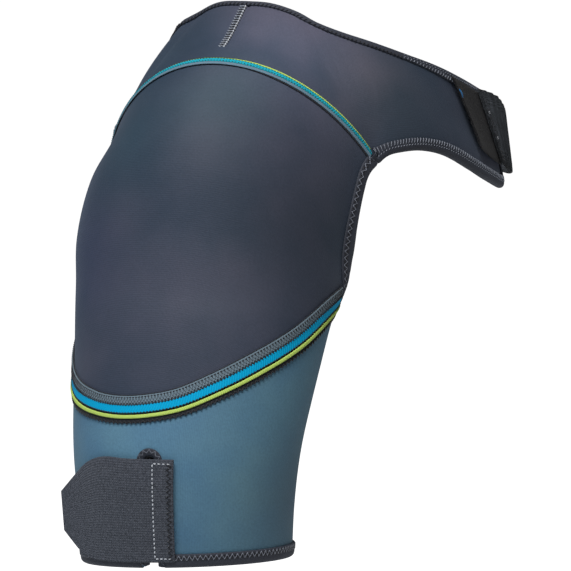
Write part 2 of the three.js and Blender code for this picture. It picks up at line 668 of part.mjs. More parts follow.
function bandStrip(lines, lift, thick) {
  const stations = bandColumns.map((a) => lines.map((s) => acrossLine(band, a, s * BAND_WIDTH)));
  const points = stations.map((row) => row.map((s) => sleevePoint(s.a, s.h)));
  const ways = stations.map((row) => row.map((s) => faceWay(sleevePoint, s.a, s.h)));
  return layer(points, ways, lift, thick);
}

const bandBacking = bandStrip(BAND_TAPES.backing, LAY, TAPE_BACK_THICK);
const bandGrey = bandStrip(BAND_TAPES.grey, onTape, TAPE_THICK);
const bandBlue = bandStrip(BAND_TAPES.blue, onTape, BRAID_THICK);
const bandLime = bandStrip(BAND_TAPES.lime, onTape, BRAID_THICK);

// Tab of the cuff: laid on the bindings from its sewn edge, then standing off straight
const TAB_ROWS = 4;
const tabLift = BOUND + LAY;
const TAB_MID_H = 0.1;
const TAB_COLUMNS = 14;
const tabTopH = CUFF_TAB_FOOT_H + rise(0, TAB_MID_H, CUFF_TAB_HEIGHT);
const tabMid = sleevePoint(0, TAB_MID_H);
const sewnRun = sleevePoint(CUFF_TAB_SEWN_A, TAB_MID_H).distanceTo(tabMid)
  + tabMid.distanceTo(sleevePoint(CUFF_TAB_LEAVES_A, TAB_MID_H));
const tabColumns = spread(0, 1, TAB_COLUMNS);
const leaveFrom = sleevePoint(CUFF_TAB_LEAVES_A + STEP, TAB_MID_H);
const leaveWay = sleevePoint(CUFF_TAB_LEAVES_A - STEP, TAB_MID_H).sub(leaveFrom).normalize();
const tabGrid = tabColumns.map((u) => {
  const value = (key) => along(CUFF_TAB, "u", key, u);
  const gone = u * CUFF_TAB_LENGTH;
  const onArm = Math.min(gone / sewnRun, 1);
  const a = CUFF_TAB_SEWN_A + (CUFF_TAB_LEAVES_A - CUFF_TAB_SEWN_A) * onArm;
  return spread(value("foot"), 1 - value("top"), TAB_ROWS).map((t) => {
    const h = CUFF_TAB_FOOT_H + (tabTopH - CUFF_TAB_FOOT_H) * t;
    const way = faceWay(sleevePoint, a, h);
    const point = sleevePoint(a, h).addScaledVector(leaveWay, Math.max(gone - sewnRun, 0));
    return { point, way };
  });
}).reverse();
const cuffTab = layer(
  tabGrid.map((row) => row.map((s) => s.point)),
  tabGrid.map((row) => row.map((s) => s.way)),
  tabLift,
  CUFF_TAB_THICK,
);

// Hook tab of the chest strap, laid on the front flap with its free end lifted
const HOOK_COLUMNS = spread(0, 1, 5);
const HOOK_ROWS = spread(0, 1, 5);
const HOOK_END_LIFT = 2;
const hookGrid = HOOK_COLUMNS.map((u) => HOOK_ROWS.map((t) => {
  const mix = (key) => HOOK_TAB_END[key] + (HOOK_TAB_ROOT[key] - HOOK_TAB_END[key]) * u;
  return {
    p: mix("lowP") + (mix("highP") - mix("lowP")) * t,
    q: mix("lowQ") + (mix("highQ") - mix("lowQ")) * t,
  };
}));
const hookTab = layer(
  hookGrid.map((row) => row.map(({ p, q }) => yokePoint(p, q))),
  hookGrid.map((row) => row.map(({ p, q }) => faceWay(yokePoint, p, q))),
  (i) => LAY + HOOK_END_LIFT * (1 - HOOK_COLUMNS[i]) ** 2,
  HOOK_TAB_THICK,
);

// Chest strap: from the hook tab over the front flap end, round the chest, onto the back flap
const strapOnTab = HOOK_TAB_THICK + 3 * LAY;
const strapOnFlap = BOUND + 3 * LAY;
const STRAP_LINES = [0, 0.5, 1];
const onFlap = (stop, lift) => STRAP_LINES.map((t) => {
  const p = stop.lowP + (stop.highP - stop.lowP) * t;
  const q = stop.lowQ + (stop.highQ - stop.lowQ) * t;
  return yokePoint(p, q).addScaledVector(faceWay(yokePoint, p, q), lift + STRAP_THICK / 2);
});
const strapStops = [
  ...STRAP_FRONT.map((stop) => onFlap(stop, strapOnTab)),
  ...STRAP_RUN.map(({ x, y, z, lean }) => STRAP_LINES.map((t) => {
    const across = new THREE.Vector3(-lean * Math.sign(x), 0, 1).normalize();
    const centre = new THREE.Vector3(x * FLAP_DEPTH, y * STRAP_REACH, z * FLAP_DROP);
    return centre.addScaledVector(across, (t - 0.5) * STRAP_WIDTH);
  })),
  ...STRAP_BACK.map((stop) => onFlap(stop, strapOnFlap)),
];
const strapCurves = STRAP_LINES.map((_, k) => (
  new THREE.CatmullRomCurve3(strapStops.map((stop) => stop[k]), false, "centripetal")
));
const STRAP_SUB_STEPS = 4;
const strapSections = spread(0, 1, (strapStops.length - 1) * STRAP_SUB_STEPS).map((share) => {
  const [low, mid, high] = strapCurves.map((curve) => curve.getPoint(share));
  const face = strapCurves[1].getTangent(share).cross(high.clone().sub(low)).normalize();
  const edgeOf = (way) => [high, mid, low].map((v) => v.clone().addScaledVector(face, (way * STRAP_THICK) / 2));
  return [...edgeOf(1), ...edgeOf(-1).reverse()];
});
const chestStrap = loft(strapSections, true);

const brace = new THREE.Group();
brace.name = "shoulder_brace";

function add(name, geometry, colour) {
  const fabric = new THREE.MeshStandardMaterial({ color: colour, name: `${name}_fabric` });
  const mesh = new THREE.Mesh(geometry, fabric);
  mesh.name = name;
  brace.add(mesh);
}

add("shoulder_panel", gridSolid(shoulder.outer, shoulder.inner), CHARCOAL);
add("yoke_panel", gridSolid(yoke.outer, yoke.inner), CHARCOAL);
add("cuff_panel", cuffBody, TEAL);
add("yoke_binding", yokeBinding, BLACK);
add("armhole_binding", armBinding, BLACK);
add("hem_binding", hemBinding, BLACK);
add("slit_binding", slitBinding, BLACK);
add("seam_backing_tape", seamBacking, BLACK);
add("seam_grey_tape", seamGrey, GREY);
add("seam_blue_braid", seamBlue, BLUE);
add("seam_lime_cord", seamLime, LIME);
add("band_backing_tape", bandBacking, BLACK);
add("band_grey_tape", bandGrey, GREY);
add("band_blue_braid", bandBlue, BLUE);
add("band_lime_cord", bandLime, LIME);
add("cuff_tab", cuffTab, SLATE);
add("strap_hook_tab", hookTab, BLACK);
add("chest_strap", chestStrap, BLACK);

export default brace;
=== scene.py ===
import math

import bmesh
import bpy
import numpy as np
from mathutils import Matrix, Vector


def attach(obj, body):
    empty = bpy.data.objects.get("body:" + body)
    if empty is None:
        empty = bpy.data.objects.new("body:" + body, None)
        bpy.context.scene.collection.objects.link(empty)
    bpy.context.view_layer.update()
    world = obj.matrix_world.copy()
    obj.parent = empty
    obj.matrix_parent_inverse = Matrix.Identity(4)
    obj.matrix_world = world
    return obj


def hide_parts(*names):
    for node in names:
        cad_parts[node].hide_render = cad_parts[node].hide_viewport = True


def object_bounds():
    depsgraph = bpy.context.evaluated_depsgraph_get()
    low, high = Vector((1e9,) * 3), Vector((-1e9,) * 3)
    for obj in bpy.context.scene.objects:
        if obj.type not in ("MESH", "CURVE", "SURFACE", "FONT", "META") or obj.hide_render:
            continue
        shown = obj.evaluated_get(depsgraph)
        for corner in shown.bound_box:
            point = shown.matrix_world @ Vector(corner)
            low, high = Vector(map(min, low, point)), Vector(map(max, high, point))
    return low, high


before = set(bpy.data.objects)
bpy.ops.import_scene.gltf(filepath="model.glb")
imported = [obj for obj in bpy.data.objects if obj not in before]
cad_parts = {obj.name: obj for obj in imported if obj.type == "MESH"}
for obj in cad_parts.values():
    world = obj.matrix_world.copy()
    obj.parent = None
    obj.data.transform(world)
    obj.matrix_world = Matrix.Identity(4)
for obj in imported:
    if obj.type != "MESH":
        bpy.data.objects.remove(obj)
cad_box = [list(corner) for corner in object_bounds()]

# Camera and light
# A long lens looks at the right shoulder from the wearer's side, a little from the front and above.
# A broad soft box stands over the camera, a weak bluish strip behind the arm, and the room is white.
MM = 0.001
LOOK_AT = Vector((48.7, -19.3, -115.6)) * MM
TURN = math.radians(20)
RAISE = math.radians(9)
CAMERA_DISTANCE = 2.4
FRAME_PIXELS = 571
PIXEL_SIZE = 0.5425 * MM
SENSOR = 36
NEAREST_SEEN = 0.05

towards_camera = Vector((
    math.sin(TURN) * math.cos(RAISE),
    -math.cos(TURN) * math.cos(RAISE),
    math.sin(RAISE),
))
camera_data = bpy.data.cameras.new("camera")
camera_data.sensor_width = SENSOR
camera_data.lens = SENSOR * CAMERA_DISTANCE / (FRAME_PIXELS * PIXEL_SIZE)
camera_data.clip_start = NEAREST_SEEN
camera = bpy.data.objects.new("camera", camera_data)
camera.location = LOOK_AT + towards_camera * CAMERA_DISTANCE
camera.rotation_mode = "QUATERNION"
camera.rotation_quaternion = (-towards_camera).to_track_quat("-Z", "Y")
bpy.context.scene.collection.objects.link(camera)
bpy.context.scene.camera = camera
bpy.context.scene.view_settings.view_transform = "Standard"


def soft_box(name, azimuth, elevation, distance, size, power, colour):
    """An area light seen from the brace at an azimuth from the camera's own and an elevation."""
    turn = TURN + math.radians(azimuth)
    rise = math.radians(elevation)
    way = Vector((math.sin(turn) * math.cos(rise), -math.cos(turn) * math.cos(rise), math.sin(rise)))
    data = bpy.data.lights.new(name, "AREA")
    data.shape = "RECTANGLE"
    data.size, data.size_y = size
    data.energy = power
    data.color = colour
    light = bpy.data.objects.new(name, data)
    light.location = LOOK_AT + way * distance
    light.rotation_mode = "QUATERNION"
    light.rotation_quaternion = (-way).to_track_quat("-Z", "Y")
    bpy.context.scene.collection.objects.link(light)


soft_box(
    "over_camera",
    azimuth=-20,
    elevation=58,
    distance=1.6,
    size=(0.9, 0.6),
    power=27,
    colour=(1.0, 0.99, 0.98),
)
soft_box(
    "left_strip",
    azimuth=-62,
    elevation=10,
    distance=1.3,
    size=(0.4, 1.4),
    power=1.1,
    colour=(0.25, 0.65, 1.0),
)

ROOM_LIGHT = 0.10
ROOM_WHITE = 1.0
world = bpy.data.worlds.new("white_room")
world.use_nodes = True
room = world.node_tree.nodes["Background"]
seen = world.node_tree.nodes.new("ShaderNodeLightPath")
brightness = world.node_tree.nodes.new("ShaderNodeMapRange")
brightness.inputs["To Min"].default_value = ROOM_LIGHT
brightness.inputs["To Max"].default_value = ROOM_WHITE
world.node_tree.links.new(seen.outputs["Is Camera Ray"], brightness.inputs["Value"])
world.node_tree.links.new(brightness.outputs["Result"], room.inputs["Strength"])
room.inputs["Color"].default_value = (1, 1, 1, 1)
bpy.context.scene.world = world

# Shoulder panel
# One piece of charcoal nylon jersey laminated on 3 mm neoprene, stretched over the deltoid.
# It is butted to the yoke along the shoulder seam and to the cuff along the wide band.
WALL = 3 * MM
SLEEVE_DROP = 268 * MM
ARM_REACH = 97 * MM
CAP_HALF_DEPTH = 80 * MM
SHOULDER_LEAN = 0.04
HEM_TILT = 0.075
HEM_TILT_TO = 0.3
SEAM_GAP = 0.3 * MM
# Sections across the arm at height h: its outer point and the armhole's edge, as shares of the sizes
# above, the share of half a turn between the two, and the back's depth as a share of the front's.
SLEEVE_COLUMNS = "h side_y side_z edge_x edge_y edge_z wrap back_x"
SLEEVE_SECTIONS = [
    (0.000, -0.954, -0.974, 0.681, -0.255, -0.999, 0.611, 1.000),
    (0.105, -0.992, -0.857, 0.705, -0.269, -0.884, 0.611, 1.000),
    (0.196, -1.004, -0.760, 0.734, -0.252, -0.787, 0.611, 1.000),
    (0.379, -0.881, -0.568, 0.810, -0.079, -0.597, 0.611, 0.985),
    (0.468, -0.789, -0.474, 0.846, 0.048, -0.504, 0.611, 1.000),
    (0.515, -0.732, -0.430, 0.862, 0.139, -0.461, 0.611, 1.018),
    (0.606, -0.644, -0.336, 0.868, 0.222, -0.388, 0.583, 1.100),
    (0.764, -0.495, -0.172, 0.925, 0.325, -0.284, 0.489, 1.082),
    (0.880, -0.309, -0.075, 0.965, 0.366, -0.237, 0.417, 0.985),
    (1.000, -0.021, 0.011, 0.995, 0.391, -0.207, 0.361, 0.960),
]
# How far the front edge of the armhole stands off the section, in mm.
FLARE_COLUMNS = "h x y"
FRONT_FLARE = [
    (0.500, 0.0, 0.0),
    (0.545, 4.0, -4.0),
    (0.606, 5.2, -6.0),
    (0.764, 2.8, -5.0),
    (0.900, 1.0, -2.5),
    (1.000, 0.0, 0.0),
]
FLARE_FROM = 0.84
# The joint under the wide band: its height at each place round the arm.
BAND_COLUMNS = "a h"
BAND_LINE = [
    (-1.000, 0.4450),
    (-0.850, 0.4050),
    (-0.700, 0.3560),
    (-0.515, 0.3180),
    (-0.340, 0.3010),
    (-0.165, 0.2960),
    (-0.020, 0.3025),
    (0.110, 0.3165),
    (0.265, 0.3490),
    (0.430, 0.3890),
    (0.615, 0.4345),
    (0.790, 0.4840),
    (1.000, 0.5150),
]
BINDING_LAY = 0.32 * MM
BINDING_THICK = 0.9 * MM
BOUND = BINDING_LAY + BINDING_THICK
SMALL_STEP = 1e-3
WELD_DISTANCE = 0.001 * MM


def arrays(*values):
    """The values as arrays of one shape."""
    return np.broadcast_arrays(*(np.asarray(value, float) for value in values))


def curves(columns, rows):
    """Smooth curves through the rows of a table, whose first column is the place along it."""
    names = columns.split()[1:]
    table = np.array(rows, float)
    place, values = table[:, 0], table[:, 1:]
    step = np.diff(place)[:, None]
    slope = np.diff(values, axis=0) / step
    inner = (slope[:-1] * step[1:] + slope[1:] * step[:-1]) / (step[1:] + step[:-1])
    tangent = np.vstack([slope[:1], inner, slope[-1:]])

    def at(where):
        where = np.asarray(where, float)
        i = np.clip(np.searchsorted(place, where, side="right") - 1, 0, len(place) - 2)
        span = (place[i + 1] - place[i])[..., None]
        t = (where - place[i])[..., None] / span
        start = (2 * t**3 - 3 * t**2 + 1) * values[i] + (t**3 - 2 * t**2 + t) * span * tangent[i]
        end = (3 * t**2 - 2 * t**3) * values[i + 1] + (t**3 - t**2) * span * tangent[i + 1]
        return dict(zip(names, np.moveaxis(start + end, -1, 0)))

    return at


sleeve_section = curves(SLEEVE_COLUMNS, SLEEVE_SECTIONS)
front_flare = curves(FLARE_COLUMNS, FRONT_FLARE)
band_line = curves(BAND_COLUMNS, BAND_LINE)


def ease(t):
    """A soft step from 0 to 1 while t goes from 0 to 1."""
    c = np.clip(t, 0, 1)
    return c * c * (3 - 2 * c)


def bare_sleeve(a, h):
    """The sleeve's outer face before its corners are rounded, from its table of sections."""
    a, h = arrays(a, h)
    a = (a + 2) % 4 - 2
    section = sleeve_section(h)
    wrap = section["wrap"] * np.pi
    turn = np.minimum(abs(a), 1) * wrap + np.maximum(abs(a) - 1, 0) * (np.pi - wrap)
    share = (1 - np.cos(turn)) / (1 - np.cos(wrap))
    flat = np.sign(a) * CAP_HALF_DEPTH * section["edge_x"] * np.sin(turn) / np.sin(wrap)
    y = ARM_REACH * (section["side_y"] + (section["edge_y"] - section["side_y"]) * share)
    z = SLEEVE_DROP * (section["side_z"] + (section["edge_z"] - section["side_z"]) * share)
    slope = HEM_TILT * np.clip(1 - h / HEM_TILT_TO, 0, 1) + SHOULDER_LEAN * ease((h - 0.5) / 0.5)
    flare = front_flare(np.clip(h, FRONT_FLARE[0][0], 1))
    bent = np.clip((a - FLARE_FROM) / (1 - FLARE_FROM), 0, 1.25) ** 2 * MM
    x = flat * np.where(a < 0, section["back_x"], 1) + flare["x"] * bent
    return np.stack([x, y + flare["y"] * bent, z + slope * flat], -1)


def unit(ways):
    """The same ways, each 1 long."""
    return ways / np.linalg.norm(ways, axis=-1, keepdims=True)


CORNER_REACH = 15 * MM
CORNER_FILL = 4.6 * MM
ARM_CORNERS = [bare_sleeve(side, 1) for side in (-1, 1)]
FLAP_WAY = (10.5, 15.3, 4.0)
FLAP_WAYS = [unit(np.array(FLAP_WAY) * (side, 1, 1)) for side in (-1, 1)]
ARM_WAYS = [unit(bare_sleeve(side, 0.9) - bare_sleeve(side, 1)) for side in (-1, 1)]


def rounded_crotch(spots):
    """Pushes cloth out round the two corners under the seam's ends, so that the edge turns in a curve."""
    for corner, flap_way, arm_way in zip(ARM_CORNERS, FLAP_WAYS, ARM_WAYS):
        near = np.clip(1 - np.linalg.norm(spots - corner, axis=-1) / CORNER_REACH, 0, 1) ** 2
        spots = spots + unit(flap_way + arm_way) * (CORNER_FILL * near)[..., None]
    return spots


def sleeve(a, h):
    """Outer face of the sleeve: a runs round the arm, -1 and 1 being the armhole edges, h up the arm."""
    return rounded_crotch(bare_sleeve(a, h))


def slopes(face, u, v, step=SMALL_STEP):
    """How a face runs on for each unit of u and of v."""
    along = (face(u + step, v) - face(u - step, v)) / (2 * step)
    up = (face(u, v + step) - face(u, v - step)) / (2 * step)
    return along, up


def way_out(face, u, v):
    """Direction off a face, away from the wearer."""
    return unit(np.cross(*slopes(face, u, v)))


def up_arm(a, h, length):
    """Share of the arm's height that makes a length there."""
    return length / np.linalg.norm(slopes(sleeve, a, h)[1], axis=-1)


EDGE_PROBE = 0.02
EDGE_A = 1 - float(BOUND * EDGE_PROBE / np.linalg.norm(sleeve(1, 0.9) - sleeve(1 - EDGE_PROBE, 0.9)))


def band_height(a):
    """Height of the joint between the shoulder panel and the cuff."""
    return band_line(np.clip(a, -1, 1))["h"]


def laid_grid(steps, place, size=(1, 1), closed=False, gap=0):
    """A grid whose corners place(u, v) lays in space, u and v being 0 to 1; UVs are in metres of size.

    With a gap of n, each nth column of faces is left out, which parts the grid into pieces.
    """
    bm = bmesh.new()
    uv = bm.loops.layers.uv.new("UVMap")
    bmesh.ops.create_grid(bm, x_segments=steps[0], y_segments=steps[1], size=0.5)
    for bm_face in bm.faces:
        bm_face.smooth = True
        for loop in bm_face.loops:
            loop[uv].uv = ((loop.vert.co.x + 0.5) * size[0], (loop.vert.co.y + 0.5) * size[1])
    if gap:
        columns = [int((bm_face.calc_center_median().x + 0.5) * steps[0]) for bm_face in bm.faces]
        left_out = [bm_face for bm_face, column in zip(bm.faces, columns) if column % gap == gap - 1]
        bmesh.ops.delete(bm, geom=left_out, context="FACES")
    flat = np.array([vert.co for vert in bm.verts]) + 0.5
    for vert, spot in zip(bm.verts, place(flat[:, 0], flat[:, 1])):
        vert.co = spot
    if closed:
        bmesh.ops.remove_doubles(bm, verts=bm.verts, dist=WELD_DISTANCE)
    return bm


def finished(name, bm, materials, stands_for=None, wall=0):
    """Makes the piece's object, with a lining wall inside it if it has a thickness."""
    mesh = bpy.data.meshes.new(name)
    bm.to_mesh(mesh)
    bm.free()
    for material in materials:
        mesh.materials.append(material)
    piece = bpy.data.objects.new(name, mesh)
    bpy.context.scene.collection.objects.link(piece)
    if wall:
        shell = piece.modifiers.new("wall", "SOLIDIFY")
        shell.thickness = wall
        shell.offset = -1
        shell.use_even_offset = True
        shell.material_offset = 1
        shell.material_offset_rim = 1
    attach(piece, "root")
    if stands_for:
        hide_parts(stands_for)
    return piece


class Finish:
    """A fabric material and the nodes that make its pattern."""

    def __init__(self, name, roughness, sheen, sheen_tint=(1, 1, 1, 1), specular=0.3):
        self.material = bpy.data.materials.new(name)
        self.material.use_nodes = True
        self.tree = self.material.node_tree
        self.shader = self.tree.nodes["Principled BSDF"]
        self.shader.inputs["Roughness"].default_value = roughness
        self.shader.inputs["Sheen Weight"].default_value = sheen
        self.shader.inputs["Sheen Roughness"].default_value = 0.45
        self.shader.inputs["Sheen Tint"].default_value = sheen_tint
        self.shader.inputs["Specular IOR Level"].default_value = specular
        self.coordinates = self.node("ShaderNodeTexCoord")

    def node(self, kind, **settings):
        """A node with its settings and sockets, a socket being given a value or another node's output."""
        made = self.tree.nodes.new(kind)
        for key, value in settings.items():
            if hasattr(made, key):
                setattr(made, key, value)
            else:
                socket = made.inputs[key.replace("_", " ").title()]
                if isinstance(value, bpy.types.NodeSocket):
                    self.tree.links.new(value, socket)
                else:
                    socket.default_value = value
        return made

    def link(self, out, into):
        self.tree.links.new(out, into)

    def noise(self, scale, detail=2.0, rough=0.5):
        """Noise fixed to the piece, its scale being in grains to the metre."""
        made = self.node("ShaderNodeTexNoise", scale=scale, detail=detail, roughness=rough)
        self.link(self.coordinates.outputs["Object"], made.inputs["Vector"])
        return made.outputs["Fac"]

    def mix(self, factor, first, second, blend="MIX"):
        """Two colours mixed by a factor, each a value or another node's output."""
        made = self.node("ShaderNodeMix", data_type="RGBA", blend_type=blend)
        for socket, value in zip((made.inputs[0], made.inputs[6], made.inputs[7]), (factor, first, second)):
            if isinstance(value, bpy.types.NodeSocket):
                self.link(value, socket)
            elif isinstance(value, (int, float)):
                socket.default_value = value
            else:
                socket.default_value = (*value, 1)
        return made.outputs[2]

    def math(self, operation, first, second=0.0, third=0.0):
        """A sum of up to three values, each a number or another node's output."""
        made = self.node("ShaderNodeMath", operation=operation)
        for socket, value in zip(made.inputs, (first, second, third)):
            if isinstance(value, bpy.types.NodeSocket):
                self.link(value, socket)
            else:
                socket.default_value = value
        return made.outputs[0]

    def ramp(self, value, low, high):
        """The value spread out so that low becomes 0 and high becomes 1."""
        made = self.node("ShaderNodeMapRange")
        self.link(value, made.inputs["Value"])
        made.inputs["From Min"].default_value = low
        made.inputs["From Max"].default_value = high
        return made.outputs["Result"]

    def colour(self, out):
        self.link(out, self.shader.inputs["Base Color"])

    def relief(self, height, depth, strength=1.0):
        """Fine relief of the surface, its depth in metres."""
        bump = self.node("ShaderNodeBump")
        bump.inputs["Strength"].default_value = strength
        bump.inputs["Distance"].default_value = depth
        self.link(height, bump.inputs["Height"])
        self.link(bump.outputs["Normal"], self.shader.inputs["Normal"])

    def across(self):
        """The piece's UV map as two values in metres: along it and across it."""
        split = self.node("ShaderNodeSeparateXYZ")
        self.link(self.coordinates.outputs["UV"], split.inputs["Vector"])
        return split.outputs["X"], split.outputs["Y"]

    def wave(self, value, period, phase=0.0):
        """A sine of the value, from 0 to 1, with a period in metres."""
        turn = self.math("MULTIPLY_ADD", value, 2 * math.pi / period, phase)
        return self.math("MULTIPLY_ADD", self.math("SINE", turn), 0.5, 0.5)

    def tone(self, value):
        """A grey of that value."""
        made = self.node("ShaderNodeCombineColor")
        for socket in made.inputs:
            self.link(value, socket)
        return made.outputs["Color"]


KNIT_COURSE = 0.85 * MM
KNIT_WALE = 0.7 * MM


def jersey(name, light, dark, sheen_tint, painted_light_patches=()):
    """Smooth nylon jersey with fine wales, a cloudy dye and a satin sheen.

    Painted light and shade: each patch lightens or darkens the colour round a place, given as a place, a
    reach and a factor for the colour.
    """
    cloth = Finish(name, roughness=0.62, sheen=0.12, sheen_tint=(*sheen_tint, 1), specular=0.25)
    cloudy = cloth.ramp(cloth.noise(14, 3), 0.35, 0.68)
    dye_and_painted_light = cloth.mix(cloudy, dark, light)
    # Painted light and shade: the colour is scaled by a factor round each place.
    for place, reach, factor in painted_light_patches:
        from_place = cloth.node("ShaderNodeVectorMath", operation="DISTANCE")
        cloth.link(cloth.coordinates.outputs["Object"], from_place.inputs[0])
        from_place.inputs[1].default_value = place
        near = cloth.node("ShaderNodeMapRange", interpolation_type="SMOOTHSTEP")
        cloth.link(from_place.outputs["Value"], near.inputs["Value"])
        near.inputs["From Min"].default_value = reach
        near.inputs["From Max"].default_value = 0
        painted_light_colour = cloth.node("ShaderNodeVectorMath", operation="MULTIPLY")
        cloth.link(dye_and_painted_light, painted_light_colour.inputs[0])
        painted_light_colour.inputs[1].default_value = factor
        dye_and_painted_light = cloth.mix(near.outputs["Result"], dye_and_painted_light, painted_light_colour.outputs["Vector"])
    along, across = cloth.across()
    wale = cloth.wave(along, KNIT_WALE)
    course = cloth.wave(across, KNIT_COURSE)
    knit = cloth.math("MULTIPLY", wale, course)
    fleck = cloth.ramp(cloth.noise(900, 2), 0.3, 0.7)
    shade = cloth.math("MULTIPLY_ADD", knit, 0.16, cloth.math("MULTIPLY_ADD", fleck, 0.14, 0.84))
    cloth.colour(cloth.mix(1.0, dye_and_painted_light, cloth.tone(shade), "MULTIPLY"))
    cloth.relief(cloth.math("ADD", knit, fleck), 0.12 * MM, 0.5)
    return cloth.material


def plush_lining():
    """Black loop pile on the inside of the neoprene."""
    pile = Finish("plush_lining", roughness=0.95, sheen=0.25, sheen_tint=(0.7, 0.75, 0.85, 1), specular=0.1)
    fuzz = pile.noise(700, 3, 0.7)
    pile.colour(pile.mix(pile.ramp(fuzz, 0.3, 0.7), (0.012, 0.013, 0.016), (0.035, 0.037, 0.044)))
    pile.relief(fuzz, 0.3 * MM, 0.7)
    return pile.material


# Painted highlights (factor above 1) and painted shade (below 1) on the charcoal. Columns: place, reach in
# metres, factor for the colour.
CHARCOAL_PAINTED_LIGHT = [
    ((0.036, 0.030, 0.008), 0.066, (2.12, 1.90, 1.84)),
    ((-0.045, 0.022, -0.006), 0.070, (0.40, 0.72, 0.80)),
    ((-0.040, -0.030, -0.035), 0.060, (0.50, 0.86, 0.86)),
    ((0.012, -0.020, -0.012), 0.045, (0.88, 1.20, 1.10)),
    ((-0.075, -0.030, -0.110), 0.072, (0.56, 0.66, 0.92)),
    ((0.070, -0.030, -0.090), 0.075, (0.70, 0.70, 0.68)),
    ((0.085, 0.055, -0.020), 0.060, (1.26, 1.20, 1.06)),
]
charcoal = jersey(
    "charcoal_jersey",
    light=(0.066, 0.070, 0.104),
    dark=(0.032, 0.046, 0.074),
    sheen_tint=(0.62, 0.78, 1.0),
    painted_light_patches=CHARCOAL_PAINTED_LIGHT,
)
lining = plush_lining()

PANEL_STEP = 1.7 * MM


def shoulder_spot(u, v):
    """The panel between the wide band's joint and the shoulder seam, short of both by half the gap."""
    a = EDGE_A * (2 * u - 1)
    foot = band_height(a)
    foot = foot + up_arm(a, foot, SEAM_GAP / 2)
    top = 1 - up_arm(a, 1, SEAM_GAP / 2)
    return sleeve(a, foot + (top - foot) * v)


shoulder_size = (0.262, 0.165)
shoulder_steps = [round(length / PANEL_STEP) for length in shoulder_size]
shoulder_panel = finished(
    "shoulder_panel_jersey",
    laid_grid(shoulder_steps, shoulder_spot, shoulder_size),
    [charcoal, lining],
    "shoulder_panel",
    WALL,
)

# Yoke panel
# The same charcoal laminate, over the top of the shoulder, running out into a front and a back flap.
# It is butted to the shoulder panel, and a dart taken up on the crown draws it in towards the neck.
FLAP_DEPTH = 114 * MM
FLAP_REACH = 174 * MM
FLAP_DROP = 84 * MM
YOKE_SWELL = 7 * MM
SEAM_P = 0.45
BACK_SWELL = 0.6
SWELL_WAY = (0.8, -0.35, 0.6)
SWELL_TURN = 0.35
FOOT_SOFTENING = 0.12
# The neck's edge as shares of the flap's sizes, the back's x as a share of the front's, and the swell.
NECK_COLUMNS = "p x y z back_x swell"
NECK_LINE = [
    (0.00, 0.000, 0.289, 0.377, 1.00, 0.00),
    (0.15, 0.127, 0.291, 0.369, 0.92, 0.18),
    (0.30, 0.254, 0.298, 0.319, 0.82, 0.56),
    (0.45, 0.368, 0.311, 0.238, 0.875, 0.90),
    (0.55, 0.474, 0.348, 0.176, 0.78, 1.00),
    (0.64, 0.588, 0.399, 0.113, 0.72, 0.89),
    (0.73, 0.711, 0.480, 0.027, 0.70, 0.65),
    (0.82, 0.825, 0.593, -0.074, 0.75, 0.35),
    (0.90, 0.886, 0.721, -0.177, 0.80, 0.20),
    (1.00, 0.905, 0.990, -0.350, 0.82, 0.10),
]
# The flap's lower edge in the same way; the last column is the back's x as a share of the front's.
FLAP_COLUMNS = "p x y z"
FLAP_EDGE = [
    (0.55, 0.790, 0.306, -0.594, 0.90),
    (0.64, 0.861, 0.400, -0.600, 0.89),
    (0.73, 0.927, 0.516, -0.660, 0.86),
    (0.82, 0.979, 0.664, -0.784, 0.85),
    (0.89, 0.996, 0.793, -0.882, 0.85),
    (0.96, 0.985, 0.985, -0.992, 0.85),
    (1.00, 0.952, 1.062, -1.008, 0.85),
]
CORNER_ROUND = 5 * MM
DART_SPAN = (0.24, 0.93)
DART_DEPTH = 0.9 * MM
DART_HALF_WIDTH = 1.1 * MM
DART_BESIDE = 2.9 * MM
DART_FOOT_FADE = 0.1
DART_TOP_FADE = 0.06

neck_line = curves(NECK_COLUMNS, NECK_LINE)


def flap_curve(side):
    """Lower edge of one flap, from the foot of the shoulder seam; x is less by back_x on the back one."""
    foot = bare_sleeve(side, 1)
    rows = [(SEAM_P, abs(foot[0]) / FLAP_DEPTH, foot[1] / FLAP_REACH, foot[2] / FLAP_DROP)]
    rows += [(p, x * (back_x if side < 0 else 1), y, z) for p, x, y, z, back_x in FLAP_EDGE]
    return curves(FLAP_COLUMNS, rows)


front_flap, back_flap = flap_curve(1), flap_curve(-1)


def yoke_foot(p):
    """Lower edge of the yoke: the shoulder seam, then the edge of each flap."""
    side = np.where(p < 0, -1, 1)
    front, back = front_flap(abs(p)), back_flap(abs(p))
    share = {key: np.where(p < 0, back[key], front[key]) for key in "xyz"}
    flap = np.stack([side * FLAP_DEPTH * share["x"], FLAP_REACH * share["y"], FLAP_DROP * share["z"]], -1)
    seam = bare_sleeve(np.clip(p / SEAM_P, -1, 1), 1)
    return np.where((abs(p) <= SEAM_P)[..., None], seam, flap)


def yoke(p, q):
    """Outer face of the yoke: p runs from the back flap's end to the front one's, q up to the neck."""
    p, q = arrays(p, q)
    side = np.where(p < 0, -1, 1)
    m = abs(p)
    reach = FOOT_SOFTENING * ease(q / 0.5) * ease((1 - m) / FOOT_SOFTENING)
    low = sum(yoke_foot(p + k * reach) for k in (-1, -0.5, 0, 0.5, 1)) / 5
    neck = neck_line(m)
    high = np.stack([
        side * FLAP_DEPTH * neck["x"] * np.where(p < 0, neck["back_x"], 1),
        FLAP_REACH * neck["y"],
        FLAP_DROP * neck["z"],
    ], -1)
    turn = ease(m / SWELL_TURN)
    way = unit(np.stack([side * SWELL_WAY[0] * turn, SWELL_WAY[1] + 0 * m, SWELL_WAY[2] + 0 * m], -1))
    swell = YOKE_SWELL * neck["swell"] * np.sin(np.pi * q) * np.where(p < 0, BACK_SWELL, 1)
    return rounded_crotch(low + (high - low) * q[..., None] + way * swell[..., None])


